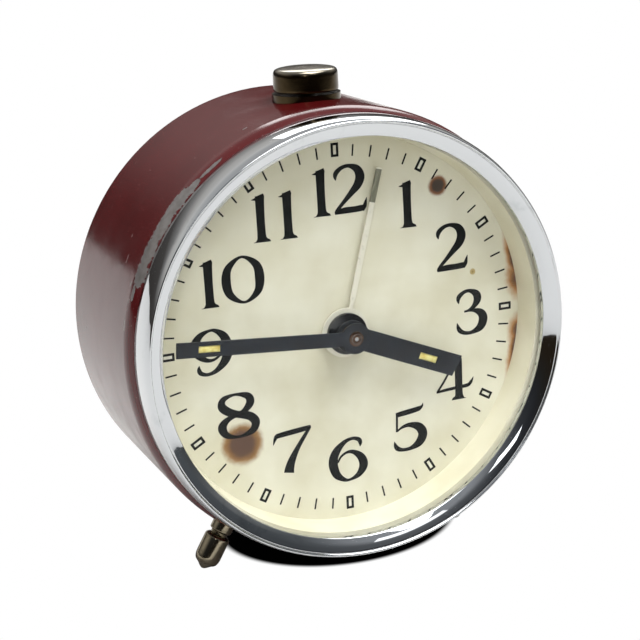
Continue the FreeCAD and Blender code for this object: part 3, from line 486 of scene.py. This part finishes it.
# Soda-lime glass: clear, with the lamps let through so that the dial is lit.
def clearGlass():
    material, tree, shader, place = startMaterial("clearGlass", Base_Color="#fdfefd", Transmission_Weight=1.0,
                                                  IOR=1.15)
    smear = addNode(tree, "TexNoise", {"Vector": place, "Scale": 1 / 16.0, "Detail": 3.0})
    rough = addNode(tree, "MapRange", {"Value": smear, "From Min": 0.4, "From Max": 0.75, "To Max": 0.008})
    feed(tree, shader, Roughness=rough)
    lamps = addNode(tree, "LightPath").outputs["Is Shadow Ray"]
    through = addNode(tree, "BsdfTransparent", {"Color": "#fdfefd"})
    both = addNode(tree, "MixShader", {0: lamps, 1: shader, 2: through})
    tree.links.new(both.outputs[0], tree.nodes["Material Output"].inputs["Surface"])
    return material


print("materials")
chrome, nickel, knobMetal = chromiumPlate(), tarnishedNickel(), rubbedNickelBrass()
brass, steel, lacquer, ink, lume = lacqueredBrass(), turnedSteel(), handLacquer(), dialInk(), luminousPaint()
slotMaterials = {
    "red_enamel": stoveEnamel(), "chrome": chrome, "glass": clearGlass(), "dial_paint": agedDialPaint(),
    "flange_paint": flangePaint(), "nickel": nickel, "black_hand": lacquer, "lume": lume,
    "alarm_silver": silveredHand(), "brass": brass, "steel": steel, "spring_steel": bluedSteel(),
    "bell_steel": bellSteel(), "back_nickel": nickelSheet(), "knob_nickel": knobMetal}
for part in frame["record"]["subparts"]:
    for materialSlot in nodes[part["node"]].material_slots:
        materialSlot.material = slotMaterials[part["material_slot"]]
buttonPaintedLightNickel, hubBlack = paintedLightNickel(), hubLacquer()
# the button collar takes the button's painted shade: it lies below z 49.9, so it is painted dark brown
for node, material in (("hour_hand_hub", hubBlack), ("button_collar", buttonPaintedLightNickel)):
    for materialSlot in nodes[node].material_slots:
        materialSlot.material = material


# Printed numerals: each stroke is (x, z, half width) along a smooth centre line, feet on z = 0.
numeralStrokes = {
    "0": [[(0.95, 4.7, 0.95), (1.6, 7.4, 0.72), (4.3, 9.2, 0.26), (7.1, 7.5, 0.76), (7.8, 4.8, 0.98),
           (7.2, 2.0, 0.74), (4.5, 0.22, 0.26), (1.7, 1.9, 0.74)]],
    "1": [[(1.85, 0.0, 1.8), (1.85, 0.22, 1.62), (1.8, 0.7, 1.05), (1.75, 1.6, 0.88), (1.7, 5.0, 0.86),
           (1.7, 8.2, 0.92), (1.75, 9.05, 0.95)],
          [(0.0, 8.45, 0.05), (0.7, 8.5, 0.25), (1.3, 8.7, 0.4), (2.62, 9.1, 0.42)]],
    "2": [[(0.72, 6.75, 0.08), (0.62, 7.6, 0.42), (0.95, 8.35, 0.5), (2.1, 9.15, 0.4), (3.6, 9.35, 0.4),
           (5.2, 8.6, 0.78), (5.85, 7.1, 0.98), (5.3, 5.5, 0.88), (3.9, 4.0, 0.62), (2.3, 2.4, 0.42),
           (1.0, 1.1, 0.36), (0.5, 0.4, 0.36)],
          [(0.25, 0.25, 0.25), (1.2, 0.5, 0.5), (2.4, 0.64, 0.62), (4.6, 0.66, 0.6), (5.8, 0.74, 0.62),
           (6.5, 0.8, 0.5)],
          [(6.1, 0.2, 0.3), (6.6, 1.1, 0.44), (6.85, 1.9, 0.28), (7.1, 2.75, 0.05)]],
    "3": [[(0.75, 6.75, 0.08), (0.62, 7.6, 0.42), (0.95, 8.35, 0.5), (2.1, 9.1, 0.38), (3.4, 9.15, 0.42),
           (4.75, 8.3, 0.82), (4.95, 7.1, 0.85), (4.1, 5.8, 0.5), (2.9, 5.1, 0.28), (1.9, 4.95, 0.2)],
          [(2.6, 5.05, 0.2), (4.2, 4.95, 0.42), (5.7, 4.2, 0.85), (6.2, 2.9, 1.0), (5.5, 1.3, 0.86),
           (3.7, 0.42, 0.42), (2.1, 0.42, 0.4), (1.0, 0.95, 0.5), (0.5, 1.7, 0.42), (0.25, 2.75, 0.06)]],
    "4": [[(5.1, 0.0, 1.7), (5.1, 0.22, 1.5), (5.15, 0.7, 1.0), (5.15, 1.5, 0.85), (5.15, 5.0, 0.84),
           (5.2, 8.0, 0.8), (5.3, 8.8, 0.7)],
          [(5.6, 9.4, 0.1), (4.6, 8.5, 0.3), (3.3, 6.6, 0.25), (1.8, 4.3, 0.24), (0.3, 2.35, 0.24)],
          [(0.05, 2.2, 0.2), (2.0, 2.42, 0.32), (5.0, 2.6, 0.34), (7.0, 2.72, 0.4), (7.7, 2.95, 0.36)],
          [(7.3, 2.6, 0.25), (7.85, 3.2, 0.36), (8.2, 3.7, 0.24), (8.55, 4.35, 0.05)]],
    "5": [[(0.95, 4.35, 0.25), (1.02, 6.5, 0.24), (1.1, 8.35, 0.25)],
          [(0.85, 7.95, 0.5), (2.5, 8.15, 0.56), (4.7, 8.4, 0.56), (6.3, 8.65, 0.5)],
          [(5.9, 8.35, 0.3), (6.4, 8.75, 0.36), (6.8, 9.1, 0.24), (7.0, 9.65, 0.05)],
          [(0.95, 4.45, 0.15), (2.2, 5.2, 0.3), (3.9, 5.45, 0.5), (5.9, 4.7, 0.9), (6.75, 3.1, 1.02),
           (5.9, 1.4, 0.9), (4.1, 0.45, 0.45), (2.3, 0.32, 0.36), (1.1, 0.7, 0.5), (0.55, 1.4, 0.42),
           (0.3, 2.4, 0.06)]],
    "6": [[(7.0, 6.95, 0.06), (7.1, 7.8, 0.42), (6.7, 8.55, 0.45), (5.3, 8.95, 0.34), (3.5, 8.35, 0.5),
           (1.7, 6.6, 0.88), (0.98, 4.4, 1.0), (1.6, 1.9, 0.86), (3.2, 0.5, 0.45), (4.6, 0.28, 0.28),
           (6.5, 1.1, 0.62), (7.6, 2.8, 0.95), (7.2, 4.6, 0.85), (5.7, 5.95, 0.5), (4.2, 6.2, 0.3),
           (2.8, 5.5, 0.24), (2.0, 4.3, 0.2)]],
    "7": [[(0.1, 6.3, 0.05), (0.4, 7.2, 0.28), (0.75, 7.9, 0.42), (1.1, 8.2, 0.4)],
          [(0.8, 8.05, 0.5), (2.5, 8.25, 0.55), (5.0, 8.5, 0.55), (7.2, 8.72, 0.5), (8.25, 8.95, 0.32)],
          [(8.0, 8.75, 0.3), (6.9, 7.3, 0.4), (5.2, 4.9, 0.52), (3.9, 2.6, 0.8), (3.3, 1.0, 0.98),
           (3.1, 0.0, 1.1)]],
    "8": [[(4.1, 5.0, 0.72), (2.3, 5.8, 0.86), (1.2, 7.0, 0.85), (1.7, 8.4, 0.58), (4.1, 9.0, 0.28),
           (6.6, 8.35, 0.72), (7.1, 7.0, 0.85), (5.9, 5.5, 0.6), (4.0, 4.7, 0.36), (2.1, 4.0, 0.62),
           (1.05, 2.6, 0.92), (1.9, 0.95, 0.66), (4.4, 0.27, 0.28), (7.2, 1.1, 0.7), (8.0, 2.7, 0.9),
           (7.1, 4.0, 0.88), (5.6, 4.6, 0.8)]],
}
numeralStrokes["9"] = [[(8.5 - x, 9.35 - z, half) for x, z, half in numeralStrokes["6"][0]]]
numerals = {
    "places": [  # figure, x of its left side, z of its foot
        ("1", -4.95, 23.5), ("2", -0.75, 23.5), ("1", 13.3, 19.1), ("2", 20.9, 9.1), ("3", 25.05, -4.9),
        ("4", 20.15, -18.4), ("5", 10.05, -27.5), ("6", -4.3, -31.7), ("7", -16.0, -27.6),
        ("8", -27.3, -18.5), ("9", -31.6, -5.0), ("1", -28.85, 8.5), ("0", -24.55, 8.5),
        ("1", -17.6, 20.0), ("1", -12.05, 20.0)],
    "ringShaped": {"0", "8"}, "perSpan": 10, "proud": 0.03, "sunk": 0.01, "thinnest": 0.03, "layer": 0.002,
}


def printedStroke(points, closed, x0, z0, layer):
    # centre line: Catmull-Rom spline through the points a, b, c and d,
    # 0.5 (2b + (c - a) t + (2a - 5b + 4c - d) t^2 + (3b - a - 3c + d) t^3) for t from 0 to 1;
    # section: a flat box as wide as the stroke, from just under the dial's face to just proud of it
    p = np.array(points, float)
    ends = (p[-1:], p[:2]) if closed else (2 * p[:1] - p[1:2], 2 * p[-1:] - p[-2:-1])
    q = np.vstack([ends[0], p, ends[1]])
    a, b, c, d = (q[k:len(q) - 3 + k, None] for k in range(4))
    t = np.linspace(0, 1, numerals["perSpan"], endpoint=False)[None, :, None]
    curve = 0.5 * (2 * b + (c - a) * t + (2 * a - 5 * b + 4 * c - d) * t ** 2
                   + (3 * b - a - 3 * c + d) * t ** 3)
    curve = curve.reshape(-1, 3)
    if closed:
        run = np.roll(curve, -1, 0)[:, :2] - np.roll(curve, 1, 0)[:, :2]
    else:
        curve = np.vstack([curve, p[-1:]])
        run = np.gradient(curve[:, :2], axis=0)
    run = run / np.linalg.norm(run, axis=1, keepdims=True)
    side = np.stack([-run[:, 1], run[:, 0]], 1) * np.maximum(curve[:, 2:], numerals["thinnest"])
    left, right = curve[:, :2] + side, curve[:, :2] - side
    top = -numerals["proud"] - layer * numerals["layer"]
    corners = [(left, top), (right, top), (right, numerals["sunk"]), (left, numerals["sunk"])]
    lines = [np.stack([x0 + xz[:, 0], np.full(len(xz), y), z0 + xz[:, 1]], 1) for xz, y in corners]
    return gridShape(np.stack(lines, 1), closeU=closed, closeV=True, capEnds=not closed)


def figureShapes():
    shapes = []
    for figure, x0, z0 in numerals["places"]:
        for layer, stroke in enumerate(numeralStrokes[figure]):
            shapes.append(printedStroke(stroke, figure in numerals["ringShaped"], x0, z0, layer))
    return shapes


minuteTrack = {"inner": 34.9, "outer": 37.2, "half": 0.17, "boxOuter": 37.66, "boxHalf": 0.8, "line": 0.5,
               "proud": 0.03, "sunk": 0.01, "under": 0.02, "fillProud": 0.018}


def printedBox(halfWide, low, high, degrees, top):
    # flat box |x| < halfWide, low < z < high, turned to its place on the dial
    x, z = np.array([-1, 1, 1, -1]) * halfWide, np.array([low, low, high, high])
    grid = np.stack([np.stack([x, np.full(4, y), z], 1) for y in (-top, minuteTrack["sunk"])])
    return gridShape(onClock(grid, degrees), closeV=True, capEnds=True)


def minuteShapes():
    # 48 minute lines and 12 hour frames; a frame is its square section carried round a rectangle
    t = minuteTrack
    shapes = [printedBox(t["half"], t["inner"], t["outer"], 6 * k, t["proud"]) for k in range(60) if k % 5]
    for hour in range(12):
        inner, outer = [], []
        for sx, z, inset in ((-1, t["inner"], 1), (1, t["inner"], 1), (1, t["boxOuter"], -1),
                             (-1, t["boxOuter"], -1)):
            outer.append((sx * t["boxHalf"], z))
            inner.append((sx * (t["boxHalf"] - t["line"]), z + inset * t["line"]))
        outer, inner = np.array(outer), np.array(inner)
        loops = [(outer, -t["proud"]), (inner, -t["proud"]), (inner, t["sunk"]), (outer, t["sunk"])]
        grid = np.stack([np.stack([xz[:, 0], np.full(4, y), xz[:, 1]], 1) for xz, y in loops], 1)
        shapes.append(gridShape(onClock(grid, 30 * hour), closeU=True, closeV=True))
    return shapes


def frameFillShapes():
    # pale paint inside each hour frame, running a little under its lines
    t = minuteTrack
    inset = t["line"] - t["under"]
    return [printedBox(t["boxHalf"] - inset, t["inner"] + inset, t["boxOuter"] - inset, 30 * hour,
                       t["fillProud"]) for hour in range(12)]


print("dial printing")
makePiece("numerals", figureShapes(), ink, "case")
makePiece("minute_track", minuteShapes(), ink, "case")
framePaint = speckledPaint("framePaint", "#d9d7cb", "#c9c6b4", 1.0, 0.6)
makePiece("hour_frame_fills", frameFillShapes(), framePaint, "case")

# Bezel: pressed brass ring with an outer wall, a rolled front bead, a fine groove and a cone down to
# the glass.
bezelRing = {
    "profile": [(43.15, -3.85), (43.95, -3.85), (44.0, -7.6), (43.78, -10.3), (43.25, -11.62),
                (42.88, -11.58), (42.72, -11.3), (42.5, -11.32), (41.2, -10.64), (40.05, -9.75),
                (40.0, -9.55), (40.0, -8.55), (42.65, -8.55), (43.15, -8.1)],
    "rounding": [0.15, 0.25, 1.6, 1.2, 0.4, 0.14, 0.14, 0.3, 0.6, 0.2, 0.1, 0.15, 0.1, 0.1], "steps": 360,
}
print("case pieces")
makePiece("bezel_ring",
          [turnedShape(roundedProfile(bezelRing["profile"], bezelRing["rounding"], 5, closed=True),
                       steps=bezelRing["steps"], closed=True)],
          chrome, "case", ("bezel",), crease=60)

# Glass: a shallow dome of even thickness; both faces are spheres, y = top + R - sqrt(R^2 - r^2).
glassDome = {"rim": 42.6, "top": -10.4, "edge": -8.1, "thick": 1.3, "rings": 60, "steps": 180}


def domeProfile():
    g = glassDome
    rise = g["edge"] - g["top"]
    ball = (g["rim"] ** 2 + rise ** 2) / (2 * rise)
    r = np.linspace(0, g["rim"], g["rings"])
    front = np.stack([r, g["top"] + ball - np.sqrt(ball ** 2 - r ** 2)], 1)
    back = front[::-1] + (0, g["thick"])
    return np.vstack([front, back])


makePiece("glass_dome", [turnedShape(domeProfile(), steps=glassDome["steps"])], slotMaterials["glass"],
          "case", ("crystal",), crease=50)

# Stop button: drawn nickel cap with a turned pip on its crown and a rolled skirt.
buttonCap = {
    "place": (0, 13.3, 0), "profile": [(0.0, 46.36), (1.45, 46.36), (5.9, 46.36), (6.45, 46.5), (6.5, 46.9),
                                       (6.46, 50.0), (6.1, 50.75), (4.6, 51.05), (2.0, 51.2), (0.5, 51.28),
                                       (0.0, 51.3)],
    "rounding": [0, 0.1, 0.3, 0.2, 0.25, 0.6, 0.7, 1.2, 0.8, 0.3, 0], "steps": 160,
}
makePiece("stop_button_cap",
          [turnedShape(roundedProfile(buttonCap["profile"], buttonCap["rounding"], 6), buttonCap["place"],
                       (0, 0, 1), buttonCap["steps"])],
          buttonPaintedLightNickel, "stop_button", ("button_cap",), crease=60)

# Feet: turned nickel studs with a neck, a waist, a barrel and a domed tip.
feet = {
    "clock": 31.0, "y": 10.0,
    "profile": [(0, 44.3), (2.3, 44.3), (2.3, 48.15), (1.78, 48.42), (1.75, 48.98), (2.25, 49.22),
                (2.65, 49.6), (2.65, 54.3), (2.3, 55.3), (1.5, 55.8), (0.72, 56.52), (0.3, 56.76),
                (0, 56.8)],
    "rounding": [0, 0.1, 0.2, 0.1, 0.1, 0.2, 0.25, 0.6, 0.5, 0.3, 0.3, 0.2, 0], "steps": 96,
}
for name, node, degrees in (("left_stud", "left_foot", 180 + feet["clock"]),
                            ("right_stud", "right_foot", 180 - feet["clock"])):
    shape = turnedShape(roundedProfile(feet["profile"], feet["rounding"], 4), (0, feet["y"], 0),
                        onClock((0, 0, 1), degrees), feet["steps"])
    makePiece(name, [shape], nickel, "case", (node,), crease=50)

print("hands")
hands = {"rounding": 0.09, "alarmRounding": 0.06, "minuteClock": 274.7, "hourClock": 112.9}
softened("minute_hand_blade", "minute_hand", hands["rounding"], lacquer, "minute_set")
softened("hour_hand_blade", "hour_hand", hands["rounding"], lacquer, "hour_set")
softened("alarm_hand_blade", "alarm_hand", hands["alarmRounding"], slotMaterials["alarm_silver"],
         "alarm_hand_set")

# Luminous fills: low pillows that stand a little below the hand's face, with half width, both ends, front
# and back.
lumeFills = {"minute": (0.655, 27.92, 32.18, -6.84, -6.55), "hour": (0.68, 15.77, 19.83, -4.74, -4.4),
             "edge": 0.35}              # share of its height that the fill has at its edge


def pillow(halfWide, low, high, top, bottom, degrees, count=13):
    # height: (edge + (1 - edge) (1 - |u|^4) (1 - |v|^4)) of the whole, for u and v from -1 to 1
    u, v = np.meshgrid(np.linspace(-1, 1, count), np.linspace(-1, 1, 2 * count), indexing="ij")
    rise = (1 - np.abs(u) ** 4) * (1 - np.abs(v) ** 4)
    z = (low + high) / 2 + v * (high - low) / 2
    height = lumeFills["edge"] + (1 - lumeFills["edge"]) * rise
    upper = np.stack([u * halfWide, bottom + (top - bottom) * height, z], -1)
    lower = np.stack([u * halfWide, np.full_like(u, bottom), z], -1)
    grid = np.concatenate([upper, lower[:, ::-1]], axis=1)
    points, quads, fans = gridShape(grid, closeV=True)
    half, rows = 2 * count, np.arange(2 * count - 1)
    for start in (0, (count - 1) * 4 * count):
        back = start + 2 * half - 1 - rows
        caps = np.stack([start + rows, start + rows + 1, back - 1, back], -1)
        quads = np.vstack([quads, caps if start else caps[:, ::-1]])
    return onClock(points, degrees), quads, fans


makePiece("minute_lume_fill", [pillow(*lumeFills["minute"], hands["minuteClock"])], lume, "minute_set",
          ("minute_hand_lume",), crease=40)
makePiece("hour_lume_fill", [pillow(*lumeFills["hour"], hands["hourClock"])], lume, "hour_set",
          ("hour_hand_lume",), crease=40)

# End of the centre arbor: turned brass with a centre dimple, seen through the minute hand's eye; its flat outer
# ring from 1.02 to 1.47 mm fills the gap in the eye as painted shade in dark brown.
arborEnd = {"profile": [(0, -6.95), (0.28, -7.1), (0.42, -7.22), (0.9, -7.26), (1.02, -7.1), (1.47, -7.04),
                        (1.47, -6.96), (0, -6.96)],
            "rounding": [0, 0.08, 0.06, 0.08, 0.06, 0.03, 0.03, 0]}
# dark brown: the arbor's brass, and painted shade on the ring that fills the eye's gap
arborBrassAndBoreShade = platedMetal("arborBrassAndBoreShade", "#5f4a3e", "#2e2622", 0.12, 0.6, 0.3, 0.4)
makePiece("arbor_end", [turnedShape(roundedProfile(arborEnd["profile"], arborEnd["rounding"]), steps=48)],
          arborBrassAndBoreShade, "minute_set", crease=50)

print("back pieces")
knobs = {  # place, rim radius, far end, ridges, body, node
    "hand_setting_knob": ((0, 0, 0), 5.5, 45.0, 30, "minute_set", "time_set_knob"),
    "alarm_setting_knob": ((18.0, 0, 0), 4.2, 44.8, 24, "alarm_setter", "alarm_set_knob")}
knurlDepth = 0.3


def knurledShape(place, rim, end, ridges):
    # knob: radius of the profile less depth (1 - |cos(ridges u / 2)|) on its side, fading at both edges
    profile = roundedProfile([(0, 36.2), (rim * 0.55, 36.2), (rim * 0.55, 37.3), (rim, 37.5),
                              (rim, end - 0.7), (rim - 0.8, end), (rim * 0.45, end),
                              (rim * 0.38, end - 0.25), (0, end - 0.25)],
                             [0, 0.1, 0.2, 0.3, 0.5, 0.5, 0.2, 0.2, 0], 5)

    def ridge(u, r, h):
        side = np.clip((h - 37.3) / 0.4, 0, 1) * np.clip((end - 0.4 - h) / 0.5, 0, 1)
        return r - knurlDepth * side * (1 - np.abs(np.cos(ridges * u / 2))) * (r > 0.6 * rim)
    return turnedShape(profile, place, steps=ridges * 12, ridge=ridge)


for name, (place, rim, end, ridges, body, node) in knobs.items():
    makePiece(name, [knurledShape(place, rim, end, ridges)], knobMetal, body, (node,),
              crease=50)
softened("time_key_wing", "time_key", 0.3, knobMetal, "time_winder")
softened("alarm_key_wing", "alarm_key", 0.3, knobMetal, "alarm_winder")

# Winding arrows printed on the back: a bar bent round each key, from start to stop, with a head at its end.
arrows = {"y": 35.4, "proud": 0.04, "sunk": 0.02, "half": 0.4, "head": 1.3, "headShare": 0.22, "points": 40,
          "tip": 0.02,
          "list": [((-14.85, -14.85), 8.4, 150, 250), ((14.5, -15.0), 7.2, 300, 210), ((0, 0), 7.8, 330, 30),
                   ((18.0, 0), 6.2, 330, 30)]}


def arrowShape(middle, radius, start, stop):
    # centre line: an arc of that radius; its half width is constant, then steps out to the head and runs
    # evenly to a point
    a = arrows
    left = 1 - np.linspace(0, 1, a["points"])                 # share of the way that is left to the point
    angle = np.radians(stop + (start - stop) * left)
    half = np.where(left > a["headShare"], a["half"], a["head"] * left / a["headShare"]) + a["tip"]
    rows = []
    for side, y in ((1, -a["sunk"]), (1, a["proud"]), (-1, a["proud"]), (-1, -a["sunk"])):
        r = radius + side * half
        rows.append(np.stack([middle[0] + r * np.sin(angle), np.full_like(r, a["y"] + y),
                              middle[1] + r * np.cos(angle)], 1))
    return gridShape(np.stack(rows, 1), closeV=True, capEnds=True)


makePiece("winding_arrows", [arrowShape(*arrow) for arrow in arrows["list"]], ink, "case",
          crease=30)

print("floor, lights and camera")
table = {"left": -1.2, "right": 1.2, "near": -0.95, "far": 0.5, "colour": "#d6d5d3"}
floorMesh = bpy.data.meshes.new("floor")
floorCorners = [(table["left"], table["near"], 0), (table["right"], table["near"], 0),
                (table["right"], table["far"], 0), (table["left"], table["far"], 0)]
floorMesh.from_pydata(floorCorners, [], [(0, 1, 2, 3)])
floor = bpy.data.objects.new("floor", floorMesh)
bpy.context.scene.collection.objects.link(floor)
floorMesh.materials.append(startMaterial("floorPaper", Base_Color=table["colour"], Roughness=0.75)[0])
floor.visible_camera = False

# The deep shade left on the table under the case, as a soft-edged ellipse just above it.
shade = {"middle": (4.5, -3.0), "halves": (26.5, 18.5), "steps": 96, "colour": "#0a0a0b", "above": 0.05}


def deepShade():
    material = bpy.data.materials.new("deepShade")
    material.use_nodes = True
    tree = material.node_tree
    own = addNode(tree, "Mapping",
                  {"Vector": addNode(tree, "TexCoord").outputs["Object"],
                   "Location": (*(mm * v for v in shade["middle"]), 0.0),
                   "Scale": (*(mm * v for v in shade["halves"]), 1.0)}, vector_type="TEXTURE")
    far = addNode(tree, "VectorMath", {0: own}, operation="LENGTH").outputs["Value"]
    fade = addNode(tree, "MapRange", {"Value": far, "From Min": 0.96, "From Max": 1.03},
                   interpolation_type="SMOOTHSTEP")
    both = addNode(tree, "MixShader", {0: fade, 1: addNode(tree, "BsdfDiffuse", {"Color": shade["colour"]}),
                                       2: addNode(tree, "BsdfTransparent")})
    tree.links.new(both.outputs[0], tree.nodes["Material Output"].inputs["Surface"])
    return material


around = np.linspace(0, 2 * math.pi, shade["steps"], endpoint=False)
rim = [1.1 * half * mm * turned(around) + middle * mm
       for half, middle, turned in zip(shade["halves"], shade["middle"], (np.cos, np.sin))]
shadeMesh = bpy.data.meshes.new("contact_shadow")
shadeMesh.from_pydata(np.stack([*rim, np.full_like(around, shade["above"] * mm)], 1).tolist(), [],
                      [list(range(shade["steps"]))])
shadeMesh.materials.append(deepShade())
contactShadow = bpy.data.objects.new("contact_shadow", shadeMesh)
bpy.context.scene.collection.objects.link(contactShadow)
contactShadow.visible_glossy = contactShadow.visible_diffuse = False

studio = {
    "boxes": [  # name, place, aim, width, height, watts, seen in reflections
        ("overheadBox", (0.25, -0.22, 1.55), (0, 0, 0.05), 1.5, 1.1, 33.0, True),
        ("backRightBox", (0.9, 2.0, 1.25), (0, 0, 0.05), 1.5, 0.9, 16.0, True),
        ("frontWindow", (-0.73, -1.57, 1.05), (0, 0, 0.05), 0.3, 0.48, 1.35, True),
        ("frontLamp", (0.26, -1.07, 1.2), (0, 0, 0.05), 0.6, 0.24, 0.72, True),
        ("frontFill", (-0.5, -1.9, 0.75), (0, 0, 0.05), 1.4, 1.2, 6.2, False)],
    "skyHeights": [-0.1, 0.06, 0.16, 0.28, 0.45, 0.62, 0.75],      # sine of each sky colour's elevation
    "skyBehind": ["#423f3d", "#524f4d", "#8a8886", "#c6c3bf", "#dedcd8", "#c8c8c8", "#c0c0c0"],
    "skyBefore": ["#2b241c", "#2b241c", "#2b2926", "#2f3033", "#3e4043", "#6b6d70", "#a5a7aa"],
    "skyRight": "#5b5f62", "skyStrength": 0.9,
}


def standing(place, rightward, away):
    # matrix that puts a lamp or camera at a place with its back towards away and its right side rightward
    away = away / np.linalg.norm(away)
    rightward = rightward - away * (rightward @ away)
    rightward = rightward / np.linalg.norm(rightward)
    turn = np.eye(4)
    turn[:3, :3] = np.stack([rightward, np.cross(away, rightward), away], 1)
    turn[:3, 3] = place
    return Matrix(turn.tolist())


for name, spot, aim, wide, high, watts, mirrored in studio["boxes"]:
    lamp = bpy.data.lights.new(name, "AREA")
    lamp.shape, lamp.size, lamp.size_y, lamp.energy = "RECTANGLE", wide, high, watts
    holder = bpy.data.objects.new(name, lamp)
    bpy.context.scene.collection.objects.link(holder)
    holder.visible_glossy = mirrored
    away = np.subtract(spot, aim)
    holder.matrix_world = standing(spot, np.cross([0, 0, 1], away), away)

world = bpy.data.worlds.new("studio")
bpy.context.scene.world = world
world.use_nodes = True
tree = world.node_tree
backdrop = tree.nodes["Background"]
direction = addNode(tree, "SeparateXYZ", {"Vector": addNode(tree, "TexCoord").outputs["Generated"]})


def skyColours(colours):
    # a ramp up the sky: colours at the sines in skyHeights, mixed evenly between them
    mixed = colours[0]
    for low, high, colour in zip(studio["skyHeights"], studio["skyHeights"][1:], colours[1:]):
        share = addNode(tree, "MapRange",
                        {"Value": direction.outputs["Z"], "From Min": low, "From Max": high})
        mixed = addNode(tree, "Mix", {"Factor": share, "A": mixed, "B": colour}, data_type="RGBA")
    return mixed


beside = addNode(tree, "MapRange", {"Value": direction.outputs["X"], "From Min": 0.35, "From Max": 0.9})
before = addNode(tree, "Mix",
                 {"Factor": beside, "A": skyColours(studio["skyBefore"]), "B": studio["skyRight"]},
                 data_type="RGBA")
behind = addNode(tree, "MapRange", {"Value": direction.outputs["Y"], "From Min": -0.35, "From Max": 0.25})
sky = addNode(tree, "Mix", {"Factor": behind, "A": before, "B": skyColours(studio["skyBehind"])},
              data_type="RGBA")
backdrop.inputs["Strength"].default_value = studio["skyStrength"]
tree.links.new(next(o for o in sky.outputs if o.enabled), backdrop.inputs["Color"])
seen = addNode(tree, "LightPath").outputs["Is Camera Ray"]
paper = addNode(tree, "Background", {"Color": "#ffffff", "Strength": 1.0})
both = addNode(tree, "MixShader", {0: seen, 1: backdrop, 2: paper})
tree.links.new(both.outputs[0], tree.nodes["World Output"].inputs["Surface"])

cameraView = {"place": (-123.72, -302.80, 91.21), "forward": (0.35327, 0.89806, -0.26207),
              "right": (0.92492, -0.37733, -0.04626), "lens": 96.14, "sensor": 36.0}
lens = bpy.data.cameras.new("camera")
lens.lens, lens.sensor_width, lens.clip_start = cameraView["lens"], cameraView["sensor"], 0.01
camera = bpy.data.objects.new("camera", lens)
bpy.context.scene.collection.objects.link(camera)
camera.matrix_world = standing(toFrame(cameraView["place"]), np.array(cameraView["right"]) @ clockAxes,
                               -np.array(cameraView["forward"]) @ clockAxes)
bpy.context.scene.camera = camera
bpy.context.scene.view_settings.view_transform = "Standard"
